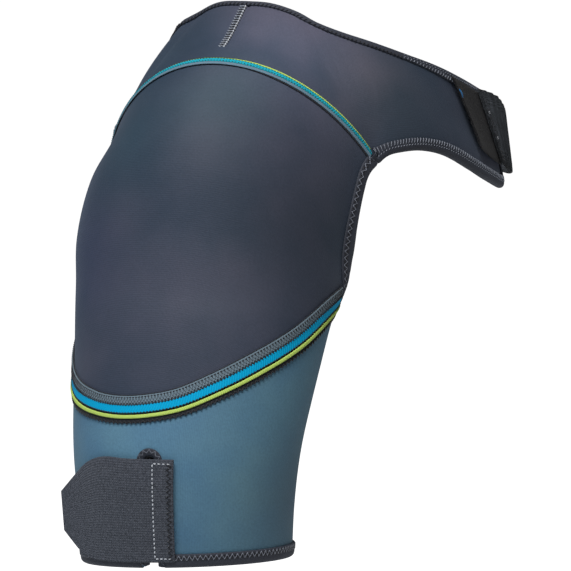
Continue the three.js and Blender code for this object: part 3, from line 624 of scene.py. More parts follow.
EDGE_P = 1 - float(BOUND * EDGE_PROBE / np.linalg.norm(yoke(1, 0.5) - yoke(1 - EDGE_PROBE, 0.5)))
FLAP_PROBE = 0.04
FLAP_LENGTH = float(np.linalg.norm(yoke(1, 0.5) - yoke(1 - FLAP_PROBE, 0.5))) / FLAP_PROBE
SEAM_END_P = SEAM_P * EDGE_A


def yoke_width(p):
    """Width of the yoke from its lower edge to the neck."""
    return np.linalg.norm(yoke(p, 1) - yoke(p, 0), axis=-1)


def yoke_share(p, t):
    """Share q of the yoke's width for a share t of the panel, whose bound edges stand back."""
    width = yoke_width(p)
    short_of_corner = np.clip((SEAM_P - abs(p)) / (SEAM_P - SEAM_END_P), 0, 1)
    foot = (SEAM_GAP / 2 + (BOUND - SEAM_GAP / 2) * np.sqrt(1 - short_of_corner**2)) / width
    return foot + (1 - BOUND / width - foot) * t


def rounded_corners(p, t):
    """Rounds the four corners of the panel in its own face."""
    width = yoke_width(p)
    from_end = (EDGE_P - abs(p)) * FLAP_LENGTH
    from_side = np.minimum(t, 1 - t) * width
    x = np.clip(1 - from_end / CORNER_ROUND, 0, 1)
    y = np.clip(1 - from_side / CORNER_ROUND, 0, 1)
    corner = (x > 0) & (y > 0)
    pull = np.where(corner, np.maximum(x, y) / np.maximum(np.hypot(x, y), 1e-9), 1)
    new_end = CORNER_ROUND * (1 - x * pull)
    new_side = CORNER_ROUND * (1 - y * pull) / width
    p = np.where(corner, np.sign(p) * (EDGE_P - new_end / FLAP_LENGTH), p)
    t = np.where(corner, np.where(t < 0.5, new_side, 1 - new_side), t)
    return p, t


def yoke_spot(u, v):
    """The panel with its rounded corners and the furrow beside the dart."""
    p, t = rounded_corners(EDGE_P * (2 * u - 1), v)
    q = yoke_share(p, t)
    from_dart = np.sign(p) * np.linalg.norm(yoke(p, q) - yoke(0 * p, q), axis=-1) - DART_BESIDE
    low_end, high_end = DART_SPAN
    inside = ease((q - low_end) / DART_FOOT_FADE) * ease((high_end + DART_TOP_FADE - q) / DART_TOP_FADE)
    sunk = DART_DEPTH * np.exp(-((from_dart / DART_HALF_WIDTH) ** 2)) * inside
    return yoke(p, q) - way_out(yoke, p, q) * sunk[..., None]


yoke_size = (0.58, 0.055)
yoke_steps = (340, 44)
yoke_panel = finished(
    "yoke_panel_jersey",
    laid_grid(yoke_steps, yoke_spot, yoke_size),
    [charcoal, lining],
    "yoke_panel",
    WALL,
)

# Cuff panel
# A tube of grey-teal laminate round the upper arm, closed under the arm and cut up from the hem
# at its outer line by a slit with a round top, so that it opens for the arm.
ARMPIT_H = 0.47
SLIT_WIDTH = 7.6 * MM
SLIT_HEIGHT = 61.8 * MM
OUTER_SIDE_Y = -60 * MM
NEAR_SLIT = 3
ABOVE_FOOT = 0.5 * MM

# Painted light and shade on the teal: a painted highlight round the cuff's middle and painted shade towards
# its front. Columns as for the charcoal.
TEAL_PAINTED_LIGHT = [
    ((-0.012, -0.095, -0.205), 0.085, (1.22, 1.22, 1.26)),
    ((0.075, -0.050, -0.230), 0.060, (0.75, 0.68, 0.72)),
]
teal = jersey(
    "teal_jersey",
    light=(0.112, 0.232, 0.296),
    dark=(0.070, 0.168, 0.268),
    sheen_tint=(0.70, 0.88, 1.0),
    painted_light_patches=TEAL_PAINTED_LIGHT,
)


def cuff_top(a):
    """Upper edge of the cuff: just under the joint, then up and round under the armpit."""
    a = (np.asarray(a, float) + 2) % 4 - 2
    m = abs(a)
    joint = band_height(np.sign(a) * np.minimum(m, EDGE_A))
    under = joint + (ARMPIT_H - joint) * ease((m - EDGE_A) / (2 - EDGE_A))
    return np.where(m <= EDGE_A, joint - up_arm(a, joint, SEAM_GAP / 2), under)


def cuff_foot(a):
    """Lower edge of the cuff, which stands back for its binding."""
    return up_arm(a, SMALL_STEP, BOUND)


def cuff_spot(u, v):
    """The tube, whose closing seam runs under the arm."""
    a = 4 * u - 2
    foot = cuff_foot(a)
    return sleeve(a, foot + (cuff_top(a) - foot) * v)


cuff_size = (0.36, 0.13)
cuff = laid_grid([round(length / PANEL_STEP) for length in cuff_size], cuff_spot, cuff_size, closed=True)
slit_round = SLIT_WIDTH / 2
slit_foot = float(sleeve(0, cuff_foot(0))[2])
slit_arch = slit_foot + SLIT_HEIGHT - slit_round


def in_slit(spot, margin=1.0):
    """True on the arm's outer side within the slit's outline, or within the outline times a margin."""
    over = max(spot.z - slit_arch, 0)
    return spot.y < OUTER_SIDE_Y and math.hypot(spot.x, over) < slit_round * margin


cut_faces = [cuff_face for cuff_face in cuff.faces if in_slit(cuff_face.calc_center_median())]
bmesh.ops.delete(cuff, geom=cut_faces, context="FACES")
for vert in cuff.verts:
    if vert.is_boundary and vert.co.z > slit_foot + ABOVE_FOOT and in_slit(vert.co, NEAR_SLIT):
        over = max(vert.co.z - slit_arch, 0)
        out = slit_round / math.hypot(vert.co.x, over)
        vert.co.x *= out
        vert.co.z += over * (out - 1)
cuff_panel = finished("cuff_panel_jersey", cuff, [teal, lining], "cuff_panel", WALL)

# Edge bindings
# Slate jersey strips folded over the raw edges: a narrow one along the neck, wide ones along the
# flaps and the armhole, one at the hem and a small one round the slit, all stitched through.
EDGE_WIDTH = 6 * MM
NECK_WIDTH = 3.6 * MM
HEM_WIDTH = 7 * MM
SLIT_BINDING_WIDTH = 3.6 * MM
FOLD_STEPS = 9
ROUND_FOLD_STEPS = 40
binding_cloth = jersey(
    "binding_jersey",
    light=(0.050, 0.056, 0.076),
    dark=(0.034, 0.038, 0.052),
    sheen_tint=(0.7, 0.8, 1.0),
)


def lengths_to(points):
    """Length along a line of points, from its start to each of them."""
    return np.concatenate([[0], np.cumsum(np.linalg.norm(np.diff(points, axis=0), axis=1))])


class Line:
    """A line drawn on a face, given by close places u, v, from which pieces are laid."""

    def __init__(self, face, u, v, left=1):
        self.face = face
        self.u, self.v = np.asarray(u, float), np.asarray(v, float)
        spots = face(self.u, self.v)
        self.run = lengths_to(spots)
        self.length = float(self.run[-1])
        tangent = unit(np.gradient(spots, self.run, axis=0))
        self.inward = left * np.cross(way_out(face, self.u, self.v), tangent)

    def lay(self, along, across, height):
        """Points at a length along the line, a distance to its side and a height over the face.

        The distance is turned into a step of u and v by the slopes of the face there.
        """
        along, across, height = arrays(along, across, height)
        u, v = np.interp(along, self.run, self.u), np.interp(along, self.run, self.v)
        inward = np.stack([np.interp(along, self.run, part) for part in self.inward.T], -1)
        step = inward * across[..., None]
        du, dv = slopes(self.face, u, v)
        uu, uv, vv = (du * du).sum(-1), (du * dv).sum(-1), (dv * dv).sum(-1)
        mu, mv = (step * du).sum(-1), (step * dv).sum(-1)
        det = uu * vv - uv * uv
        u = u + (mu * vv - mv * uv) / det
        v = v + (mv * uu - mu * uv) / det
        return self.face(u, v) + way_out(self.face, u, v) * height[..., None]


def even_section(points):
    """A function that walks a closed section evenly, giving distance across and height, and its girth."""
    points = np.array(points)
    run = lengths_to(points)

    def at(v):
        return np.interp(v * run[-1], run, points[:, 0]), np.interp(v * run[-1], run, points[:, 1])

    return at, run[-1]


def fold_outline(width):
    """Closed section of a strip folded round an edge: distance from the edge, and height."""
    nose = WALL / 2 + BOUND
    inner = nose - BINDING_THICK
    centre = nose - BOUND
    turns = np.linspace(math.pi / 2, 3 * math.pi / 2, FOLD_STEPS)
    outer_arc = [(centre + nose * math.cos(t), -WALL / 2 + nose * math.sin(t)) for t in turns]
    inner_arc = [(centre + inner * math.cos(t), -WALL / 2 + inner * math.sin(t)) for t in turns[::-1]]
    high, low = BINDING_LAY, BOUND
    top = [(width - 0.1 * MM, high), (width, (high + low) / 2), (width - 0.35 * MM, low)]
    foot = [(x, -WALL - z) for x, z in top[::-1]]
    return even_section([*top, *outer_arc, *foot, *inner_arc, top[0]])


def closed_ends(bm):
    """The same strip with its open ends filled and its faces turned outward."""
    bmesh.ops.holes_fill(bm, edges=[edge for edge in bm.edges if edge.is_boundary], sides=0)
    bmesh.ops.recalc_face_normals(bm, faces=bm.faces)
    return bm


def binding(line, width, spacing=1.6 * MM):
    """A folded strip along a line; width is one value or a function of the length along it."""
    widest = EDGE_WIDTH if callable(width) else width
    section, girth = fold_outline(widest)

    def spot(u, v):
        along = line.length * u
        across, height = section(v)
        if callable(width):
            across = np.where(across > 0, across * width(along) / widest, across)
        return line.lay(along, across, height)

    steps = (round(line.length / spacing), ROUND_FOLD_STEPS)
    return closed_ends(laid_grid(steps, spot, (line.length, girth), closed=True))


def rim_part(p_from, p_to, t_from, t_to, count):
    """Close places along one side of the yoke panel."""
    return np.linspace(p_from, p_to, count), np.linspace(t_from, t_to, count)


RIM_PARTS = {
    "front_edge": rim_part(SEAM_END_P, EDGE_P, 0, 0, 360),
    "front_end": rim_part(EDGE_P, EDGE_P, 0, 1, 90),
    "neck": rim_part(EDGE_P, -EDGE_P, 1, 1, 620),
    "back_end": rim_part(-EDGE_P, -EDGE_P, 1, 0, 90),
    "back_edge": rim_part(-EDGE_P, -SEAM_END_P, 0, 0, 360),
}
rim_p = np.concatenate([part[0][:-1] for part in RIM_PARTS.values()] + [[-SEAM_END_P]])
rim_t = np.concatenate([part[1][:-1] for part in RIM_PARTS.values()] + [[0]])
rim_p, rim_t = rounded_corners(rim_p, rim_t)
rim = Line(yoke, rim_p, yoke_share(rim_p, rim_t))
rim_counts = np.cumsum([0] + [len(part[0]) - 1 for part in RIM_PARTS.values()])
rim_stops = dict(zip(RIM_PARTS, rim.run[rim_counts]))
WIDE_STRETCH = 40 * MM
NARROWING_STRETCH = 60 * MM


def rim_width(along):
    """Wide along the flaps, and along the neck narrower towards the crown."""
    into = ease((along - rim_stops["neck"] - WIDE_STRETCH) / NARROWING_STRETCH)
    out = ease((rim_stops["back_end"] - WIDE_STRETCH - along) / NARROWING_STRETCH)
    return EDGE_WIDTH + (NECK_WIDTH - EDGE_WIDTH) * into * out


yoke_fold = binding(rim, rim_width)
finished("yoke_binding_fold", yoke_fold, [binding_cloth], "yoke_binding")

ARM_CORNER_SOFTENING = 7
FRONT_EDGE_LENGTH = 105 * MM
FRONT_EDGE_EXTRA = 1.2 * MM
front_h = np.linspace(1, float(band_height(EDGE_A)), 90)
under_a = np.linspace(EDGE_A, 4 - EDGE_A, 260)
back_h = np.linspace(float(band_height(-EDGE_A)), 1, 90)
arm_a = np.concatenate([0 * front_h + EDGE_A, under_a[1:-1], 0 * back_h + 4 - EDGE_A])
arm_h = np.concatenate([front_h, cuff_top(under_a[1:-1]), back_h])
softener = np.hanning(2 * ARM_CORNER_SOFTENING + 1)
softener /= softener.sum()
for places in (arm_a, arm_h):
    places[ARM_CORNER_SOFTENING:-ARM_CORNER_SOFTENING] = np.convolve(places, softener, "valid")
arm_line = Line(sleeve, arm_a, arm_h, left=-1)


def arm_width(along):
    """Width of the armhole's binding, wider down both sides of the opening."""
    from_seam = np.minimum(along, arm_line.length - along)
    extra = ease(from_seam / (12 * MM)) * ease((FRONT_EDGE_LENGTH - from_seam) / (20 * MM))
    return EDGE_WIDTH + FRONT_EDGE_EXTRA * extra


armhole_fold = binding(arm_line, arm_width)
finished("armhole_binding_fold", armhole_fold, [binding_cloth], "armhole_binding")

SLIT_SIDE_A = 0.060
hem_a = np.linspace(SLIT_SIDE_A, 4 - SLIT_SIDE_A, 500)
hem_line = Line(sleeve, hem_a, cuff_foot(hem_a))
hem_fold = binding(hem_line, HEM_WIDTH)
finished("hem_binding_fold", hem_fold, [binding_cloth], "hem_binding")
TRIES_TO_PLACE = 12
SLIT_BINDING_CLEARANCE = 0.3 * MM


def place_at(x, z):
    """Place a, h on the arm's outer line of a point seen from the side, found by steps along the slopes."""
    a, h = 0 * x, 0.1 + 0 * z
    for attempt in range(TRIES_TO_PLACE):
        here = sleeve(a, h)
        du, dv = slopes(sleeve, a, h)
        det = du[..., 0] * dv[..., 2] - dv[..., 0] * du[..., 2]
        dx, dz = x - here[..., 0], z - here[..., 2]
        a = a + (dx * dv[..., 2] - dz * dv[..., 0]) / det
        h = h + (dz * du[..., 0] - dx * du[..., 2]) / det
    return a, h


side_z = np.linspace(slit_foot + SLIT_BINDING_CLEARANCE, slit_arch, 60)
arch = np.linspace(0, math.pi, 60)[1:-1]
slit_x = np.concatenate([0 * side_z - slit_round, -slit_round * np.cos(arch), 0 * side_z + slit_round])
slit_z = np.concatenate([side_z, slit_arch + slit_round * np.sin(arch), side_z[::-1]])
slit_line = Line(sleeve, *place_at(slit_x, slit_z))
slit_fold = binding(slit_line, SLIT_BINDING_WIDTH, spacing=0.8 * MM)
finished("slit_binding_fold", slit_fold, [binding_cloth], "slit_binding")

# Tapes of the shoulder seam
# A black backing tape covers the butted seam. On it lie a narrow grey tape, a bright blue braid
# and a pale lime cord along the yoke side, each stitched down.
TAPE_BACK_THICK = 0.4 * MM
TAPE_THICK = 0.5 * MM
BRAID_THICK = 0.6 * MM
TAPE_LAY = 0.32 * MM
ON_TAPE = TAPE_LAY + TAPE_BACK_THICK
SEAM_TAPE_WIDTH = 7 * MM


def flat_section(low, high, base, thick, corner=None, steps=10):
    """Closed section of a flat strip with rounded edges: distance across and height, and its steps."""
    corner = thick / 2 if corner is None else corner
    left, right = low + corner, high - corner
    foot, top = base + corner, base + thick - corner
    flat = np.linspace(left, right, steps)
    quarter = np.linspace(0, math.pi / 2, 4)[1:]
    points = [(x, base) for x in flat]
    points += [(right + corner * math.sin(t), foot - corner * math.cos(t)) for t in quarter]
    points += [(right + corner * math.cos(t), top + corner * math.sin(t)) for t in quarter]
    points += [(x, base + thick) for x in flat[::-1][1:]]
    points += [(left - corner * math.sin(t), top + corner * math.cos(t)) for t in quarter]
    points += [(left - corner * math.cos(t), foot - corner * math.sin(t)) for t in quarter]
    across, height = np.array(points).T
    place = np.linspace(0, 1, len(points))

    def at(v):
        return np.interp(v, place, across), np.interp(v, place, height)

    return at, len(points) - 1


def strip(lay, length, section, count, start=0.0, narrowing=None):
    """A closed strip along a line, UVs in metres along it and round its section.

    Narrowing(u) gives a share of the width, from the low edge if it is above 0, else from the high one.
    """
    shape, around = section
    low, high = np.min(shape(np.linspace(0, 1, 60))[0]), np.max(shape(np.linspace(0, 1, 60))[0])

    def spot(u, v):
        across, height = shape(v)
        if narrowing:
            share = narrowing(u)
            kept_edge = np.where(share > 0, low, high)
            across = kept_edge + (across - kept_edge) * abs(share)
        return lay(start + length * u, across, height)

    return closed_ends(laid_grid((count, around), spot, (length, 2 * (high - low)), closed=True))


def woven_tape(name, light, dark, rib=1.1 * MM):
    """Narrow woven tape with fine ribs across it and flecked yarns."""
    tape = Finish(name, roughness=0.75, sheen=0.2, specular=0.25)
    along, across = tape.across()
    ribs = tape.wave(along, rib)
    warp = tape.wave(across, 0.55 * MM)
    weave = tape.math("MULTIPLY", ribs, warp)
    fleck = tape.ramp(tape.noise(1500, 2), 0.3, 0.7)
    mixed = tape.math("MULTIPLY_ADD", weave, 0.6, tape.math("MULTIPLY", fleck, 0.4))
    tape.colour(tape.mix(mixed, dark, light))
    tape.relief(mixed, 0.15 * MM, 0.8)
    return tape.material


def flat_braid(name, light, dark, pitch=1.5 * MM):
    """Flat braid: yarns that lean in from both edges in a chevron."""
    braid = Finish(name, roughness=0.7, sheen=0.02, specular=0.12)
    along, across = braid.across()
    lean = braid.math("MULTIPLY", braid.math("ABSOLUTE", across), 0.9)
    chevron = braid.wave(braid.math("ADD", along, lean), pitch)
    fleck = braid.ramp(braid.noise(1200, 2), 0.25, 0.75)
    mixed = braid.math("MULTIPLY_ADD", chevron, 0.7, braid.math("MULTIPLY", fleck, 0.3))
    braid.colour(braid.mix(mixed, dark, light))
    braid.relief(chevron, 0.18 * MM, 0.7)
    return braid.material


black_tape = woven_tape("black_tape", (0.030, 0.031, 0.040), (0.012, 0.013, 0.017))
grey_tape = woven_tape("grey_tape", (0.225, 0.310, 0.370), (0.120, 0.170, 0.210))
lilac_tape = woven_tape("lilac_grey_tape", (0.170, 0.275, 0.350), (0.110, 0.190, 0.250))
blue_braid = flat_braid("blue_braid", (0.000, 0.440, 0.760), (0.000, 0.320, 0.600))
sea_braid = flat_braid("sea_blue_braid", (0.012, 0.460, 0.570), (0.008, 0.290, 0.400))
lime_cord = flat_braid("lime_cord", (0.620, 0.800, 0.190), (0.420, 0.580, 0.110), 1.2 * MM)

seam_a = np.linspace(-EDGE_A, EDGE_A, 500)
seam_line = Line(sleeve, seam_a, 1 + 0 * seam_a)
seam_foot = sleeve(seam_a, 1)
seam_way = unit(way_out(sleeve, seam_a, 1 - SMALL_STEP) + way_out(yoke, seam_a * SEAM_P, SMALL_STEP))
seam_up = unit(slopes(yoke, seam_a * SEAM_P, EDGE_PROBE + 0 * seam_a)[1])
seam_down = -unit(slopes(sleeve, seam_a, 1 - EDGE_PROBE + 0 * seam_a)[1])


def on_seam(along, across, height):
    """Points over the seam: across is below 0 on the shoulder panel and above 0 on the yoke."""
    along, across, height = arrays(along, across, height)
    foot, down, up, way = (
        np.stack([np.interp(along, seam_line.run, part) for part in values.T], -1)
        for values in (seam_foot, seam_down, seam_up, seam_way)
    )
    side = np.where((across < 0)[..., None], down, up)
    return foot + side * abs(across)[..., None] + way * height[..., None]


seam_start = EDGE_WIDTH + 2 * BINDING_LAY
seam_run = seam_line.length - 2 * seam_start
half_tape = SEAM_TAPE_WIDTH / 2
SEAM_TAPE_STEPS = 260
# Columns: low and high edge as shares of half the tape's width, height, thickness, material, slot.
SEAM_TAPES = {
    "seam_backing_tape": (-1.00, 1.00, TAPE_LAY, TAPE_BACK_THICK, black_tape, "black_binding"),
    "seam_grey_tape": (-0.78, -0.26, ON_TAPE, TAPE_THICK, lilac_tape, "grey_tape"),
    "seam_blue_braid": (-0.22, 0.54, ON_TAPE, BRAID_THICK, sea_braid, "blue_braid"),
    "seam_lime_cord": (0.58, 0.88, ON_TAPE, TAPE_THICK, lime_cord, "lime_cord"),
}


def lime_share(u):
    """The lime cord thins out towards the back, where the braid covers it."""
    return 0.15 + 0.85 * ease((u - 0.50) / 0.16)


def backing_share(u):
    """The backing tape shows under the grey one at the front, and is hidden by it further back."""
    return -(0.84 + 0.16 * ease((u - 0.50) / 0.22))


SEAM_NARROWING = {"seam_lime_cord": lime_share, "seam_backing_tape": backing_share}
for node, (low, high, base, thick, material, slot) in SEAM_TAPES.items():
    section = flat_section(low * half_tape, high * half_tape, base, thick)
    narrowing = SEAM_NARROWING.get(node)
    strip_bm = strip(on_seam, seam_run, section, SEAM_TAPE_STEPS, seam_start, narrowing)
    finished(node + "_strip", strip_bm, [material], node)

# Wide band over the joint of shoulder panel and cuff
# A black backing tape, and on it from the top a grey tape, a bright blue flat braid and a lime
# cord. It follows the joint from the back of the armhole round the arm to its front.
BAND_WIDTH = 15 * MM
band_a = np.linspace(-EDGE_A, EDGE_A, 600)
joint = Line(sleeve, band_a, band_height(band_a))
BAND_END_BACK = EDGE_WIDTH + 2 * MM
BAND_STEPS = 320
band_run = joint.length - 2 * BAND_END_BACK
# Columns: low and high edge as shares of the band's width, height, thickness, material, slot.
BAND_TAPES = {
    "band_backing_tape": (-0.50, 0.50, TAPE_LAY, TAPE_BACK_THICK, black_tape, "black_binding"),
    "band_grey_tape": (0.160, 0.475, ON_TAPE, TAPE_THICK, grey_tape, "grey_tape"),
    "band_blue_braid": (-0.150, 0.145, ON_TAPE, BRAID_THICK, blue_braid, "blue_braid"),
    "band_lime_cord": (-0.340, -0.210, ON_TAPE, 1.1 * MM, lime_cord, "lime_cord"),
}
for node, (low, high, base, thick, material, slot) in BAND_TAPES.items():
    section = flat_section(low * BAND_WIDTH, high * BAND_WIDTH, base, thick)
    strip_bm = strip(joint.lay, band_run, section, BAND_STEPS, BAND_END_BACK)
    finished(node + "_strip", strip_bm, [material], node)

# Cuff tab
# A slate tab of brushed loop cloth, sewn to the cuff in front of the slit with a box of stitches.
# It is pulled back over the slit and held by hooks under it; its free corners are cut back.
CUFF_TAB_LENGTH = 77 * MM
CUFF_TAB_HEIGHT = 57.5 * MM
CUFF_TAB_THICK = 1.6 * MM
CUFF_TAB_EDGE = 0.7 * MM
# How much of its height is cut away above and below, from the sewn edge at 0 to the free one at 1.
CUFF_TAB_COLUMNS = "u top foot"
CUFF_TAB_OUTLINE = [
    (0.00, 0.00, 0.00),
    (0.30, 0.01, 0.00),
    (0.56, 0.02, 0.00),
    (0.70, 0.09, 0.01),
    (0.82, 0.20, 0.07),
    (0.92, 0.30, 0.17),
    (1.00, 0.38, 0.26),
]
SEWN_A = 0.115
LEAVES_A = -0.30
TAB_FOOT_H = 0.014
TAB_MID_H = 0.1
tab_outline = curves(CUFF_TAB_COLUMNS, CUFF_TAB_OUTLINE)
tab_top_h = TAB_FOOT_H + float(up_arm(0, TAB_MID_H, CUFF_TAB_HEIGHT))
tab_mid = sleeve(0, TAB_MID_H)
tab_on_arm = float(sum(np.linalg.norm(sleeve(a, TAB_MID_H) - tab_mid) for a in (SEWN_A, LEAVES_A)))
tab_leaves = -unit(slopes(sleeve, LEAVES_A, TAB_MID_H)[0])


def on_tab(gone, t, height):
    """Points of the tab: gone is the length from its sewn edge, t its height share, height its lift."""
    gone, t, height = arrays(gone, t, height)
    laid = np.minimum(gone / tab_on_arm, 1)
    a = SEWN_A + (LEAVES_A - SEWN_A) * laid
    h = TAB_FOOT_H + (tab_top_h - TAB_FOOT_H) * t
    free = np.maximum(gone - tab_on_arm, 0)[..., None] * tab_leaves
    lift = BOUND + BINDING_LAY + height
    return sleeve(a, h) + free + way_out(sleeve, a, h) * lift[..., None]


def loop_cloth():
    """Brushed loop cloth: heathered slate yarns in a coarse, fuzzy weave."""
    cloth = Finish("slate_loop_cloth", roughness=0.9, sheen=0.15,
                   sheen_tint=(0.8, 0.85, 1.0, 1), specular=0.15)
    along, across = cloth.across()
    weft = cloth.wave(along, 1.3 * MM)
    warp = cloth.wave(across, 1.3 * MM, 1.0)
    yarn = cloth.math("MULTIPLY", weft, warp)
    heather = cloth.ramp(cloth.noise(1100, 3, 0.7), 0.36, 0.64)
    fuzz = cloth.noise(2400, 2, 0.8)
    mixed = cloth.math("MULTIPLY_ADD", yarn, 0.3, cloth.math("MULTIPLY", heather, 0.7))
    cloth.colour(cloth.mix(mixed, (0.034, 0.039, 0.050), (0.120, 0.130, 0.158)))
    cloth.relief(cloth.math("MULTIPLY_ADD", fuzz, 0.6, yarn), 0.35 * MM, 0.9)
    return cloth.material


def tab_spot(u, v):
    """The tab's rounded section at u, v running round it."""
    across, height = tab_section(v)
    end = np.clip(np.minimum(u, 1 - u) * CUFF_TAB_LENGTH / CUFF_TAB_EDGE, 0, 1)
    full = np.sqrt(1 - (1 - end) ** 2)
    cut = tab_outline(u)
    t = cut["foot"] + (1 - cut["top"] - cut["foot"]) * across / CUFF_TAB_HEIGHT
    return on_tab(u * CUFF_TAB_LENGTH, t, CUFF_TAB_THICK / 2 + (height - CUFF_TAB_THICK / 2) * full)


slate = loop_cloth()
tab_section, tab_around = flat_section(0, CUFF_TAB_HEIGHT, 0, CUFF_TAB_THICK, CUFF_TAB_EDGE, 60)
tab_size = (CUFF_TAB_LENGTH, 2 * CUFF_TAB_HEIGHT)
tab_bm = closed_ends(laid_grid((110, tab_around), tab_spot, tab_size, closed=True))
cuff_tab = finished("cuff_tab_cloth", tab_bm, [slate], "cuff_tab")

# Chest strap and its hook tab
# Black elastic, 38 mm wide, round the chest from the back flap to the front one. Its end is a
# stiff hook tab pressed on the front flap, and the elastic gathers in folds where it is sewn on.
STRAP_WIDTH = 38 * MM
STRAP_THICK = 1.8 * MM
STRAP_REACH = 290 * MM
HOOK_TAB_THICK = 1.4 * MM
HOOK_TAB_EDGE = 0.6 * MM
HOOK_END_LIFT = 2.6 * MM
HOOK_TAB_END = (0.862, 0.24, 0.837, 0.91)
HOOK_TAB_ROOT = (0.975, 0.23, 0.955, 0.92)
HOOK_TAB_LENGTH = 20 * MM
# Columns of the strap's stops on the flaps: low p, low q, high p, high q.
STRAP_FRONT = [(0.958, 0.22, 0.936, 0.93), (0.976, 0.21, 0.968, 0.96), (0.996, 0.20, 1.0, 0.98)]
STRAP_BACK = [(-0.990, 0.22, -1.0, 0.84), (-0.950, 0.24, -0.955, 0.86), (-0.900, 0.25, -0.900, 0.86)]
# Columns round the chest: shares of the flap's depth, the strap's reach and the flap's drop, lean.
STRAP_RUN = [
    (0.905, 0.720, -0.73, 0.12),
    (0.760, 0.830, -0.76, 0.08),
    (0.560, 0.930, -0.73, 0.04),
    (0.210, 0.995, -0.71, 0.02),
    (-0.200, 0.995, -0.70, 0.02),
    (-0.510, 0.930, -0.70, 0.04),
    (-0.700, 0.830, -0.71, 0.08),
    (-0.800, 0.720, -0.68, 0.12),
]
strap_on_tab = HOOK_TAB_THICK + 3 * BINDING_LAY
strap_on_flap = BOUND + 3 * BINDING_LAY
FOLD_HEIGHT = 1.5 * MM
FOLD_PITCH = 8.5 * MM
# Columns: length from the strap's end, share of the folds' height.
GATHERS = [(22 * MM, 1.0), (50 * MM, 0.6)]
GATHER_REACH = 14 * MM


def on_flap(stop, t, lift):
    """A point over the yoke, at a share t between a stop's low and high ends."""
    low_p, low_q, high_p, high_q = stop
    p = low_p + (high_p - low_p) * t
    q = low_q + (high_q - low_q) * t
    return yoke(p, q) + way_out(yoke, p, q) * np.asarray(lift)[..., None]


def strap_stop_lines(t):
    """The strap's stops at a share t of its width, in order round the chest."""
    stops = [on_flap(stop, t, strap_on_tab + STRAP_THICK / 2) for stop in STRAP_FRONT]
    for x, y, z, lean in STRAP_RUN:
        middle = np.array([x * FLAP_DEPTH, y * STRAP_REACH, z * FLAP_DROP])
        across = unit(np.array([-lean * np.sign(x), 0, 1]))
        stops.append(middle + across * (t - 0.5) * STRAP_WIDTH)
    stops += [on_flap(stop, t, strap_on_flap + STRAP_THICK / 2) for stop in STRAP_BACK]
    return np.array(stops)


strap_edges = [strap_stop_lines(t) for t in (0.0, 0.5, 1.0)]
middle_run = lengths_to(strap_edges[1])
strap_length = float(middle_run[-1])
strap_curves = [curves("s x y z", np.column_stack([middle_run, stops])) for stops in strap_edges]


def strap_face(s, t):
    """Middle face of the strap: s is the length from the front end, t the share of its width."""
    s, t = arrays(s, t)
    low, mid, high = (np.stack([curve(s)[key] for key in "xyz"], -1) for curve in strap_curves)
    t = t[..., None]
    return low * (1 - t) * (1 - 2 * t) + mid * 4 * t * (1 - t) + high * t * (2 * t - 1)


def strap_spot(u, v):
    """The strap's rounded section at u, with folds where it gathers at its front end."""
    turn = 2 * math.pi * v
    side, rise = -np.cos(turn), np.sin(turn)
    t = 0.5 + 0.5 * np.sign(side) * abs(side) ** 0.25
    s = u * strap_length
    lift = STRAP_THICK / 2 * np.sign(rise) * abs(rise) ** 0.5
    gathered = sum(much * np.exp(-(((s - place) / GATHER_REACH) ** 2)) for place, much in GATHERS)
    ripple = np.sin(2 * math.pi * s / FOLD_PITCH + 1.3 * np.sin(5 * t) + 2 * t)
    fold = FOLD_HEIGHT * gathered * (0.5 + 0.5 * ripple) * (1 - 0.35 * t)
    return strap_face(s, t) + way_out(strap_face, s, t) * (lift + fold)[..., None]


def elastic():
    """Knitted elastic: ribs along its length, rubber flecks and a dusty sheen."""
    web = Finish("black_elastic", roughness=0.72, sheen=0.12,
                 sheen_tint=(0.75, 0.85, 1.0, 1), specular=0.25)
    along, across = web.across()
    ribs = web.wave(across, 1.5 * MM)
    knit = web.wave(along, 0.9 * MM)
    fleck = web.ramp(web.noise(1300, 3, 0.7), 0.45, 0.72)
    ribbed = web.math("MULTIPLY", ribs, knit)
    mixed = web.math("MULTIPLY_ADD", fleck, 0.55, web.math("MULTIPLY", ribbed, 0.35))
    web.colour(web.mix(mixed, (0.004, 0.005, 0.006), (0.036, 0.040, 0.046)))
    web.relief(web.math("ADD", ribs, knit), 0.2 * MM, 0.8)
    return web.material


def hook_tape():
    """Moulded hook tape: a dense field of tiny black hooks."""
    tape = Finish("black_hook_tape", roughness=0.6, sheen=0.05, specular=0.25)
    cells = tape.node("ShaderNodeTexVoronoi", scale=900.0)
    tape.link(tape.coordinates.outputs["Object"], cells.inputs["Vector"])
    hooks = tape.ramp(cells.outputs["Distance"], 0.1, 0.6)
    tape.colour(tape.mix(hooks, (0.030, 0.030, 0.034), (0.008, 0.008, 0.010)))
    tape.relief(hooks, 0.25 * MM, 0.8)
    return tape.material


black_elastic = elastic()
strap_size = (strap_length, 2 * STRAP_WIDTH)
strap_bm = closed_ends(laid_grid((420, 48), strap_spot, strap_size, closed=True))
chest_strap = finished("chest_strap_elastic", strap_bm, [black_elastic], "chest_strap")


def on_hook_tab(u, t, height):
    """Points of the hook tab: u from its free end to the strap, t across it, height over its underside."""
    ends = zip(HOOK_TAB_END, HOOK_TAB_ROOT)
    low_p, low_q, high_p, high_q = (end + (root - end) * u for end, root in ends)
    p, q = low_p + (high_p - low_p) * t, low_q + (high_q - low_q) * t
    lift = BINDING_LAY + HOOK_END_LIFT * (1 - u) ** 2 + height
    return yoke(p, q) + way_out(yoke, p, q) * lift[..., None]


def hook_spot(u, v):
    """The hook tab's rounded section at u, thinned at its free end."""
    turn = 2 * math.pi * v
    side, rise = -np.cos(turn), np.sin(turn)
    t = 0.5 + 0.5 * np.sign(side) * abs(side) ** 0.16
    end = np.clip(u * HOOK_TAB_LENGTH / HOOK_TAB_EDGE, 0, 1)
    thick = HOOK_TAB_THICK / 2 * (1 + np.sign(rise) * abs(rise) ** 0.5 * np.sqrt(1 - (1 - end) ** 2))
    return on_hook_tab(u, t, thick)


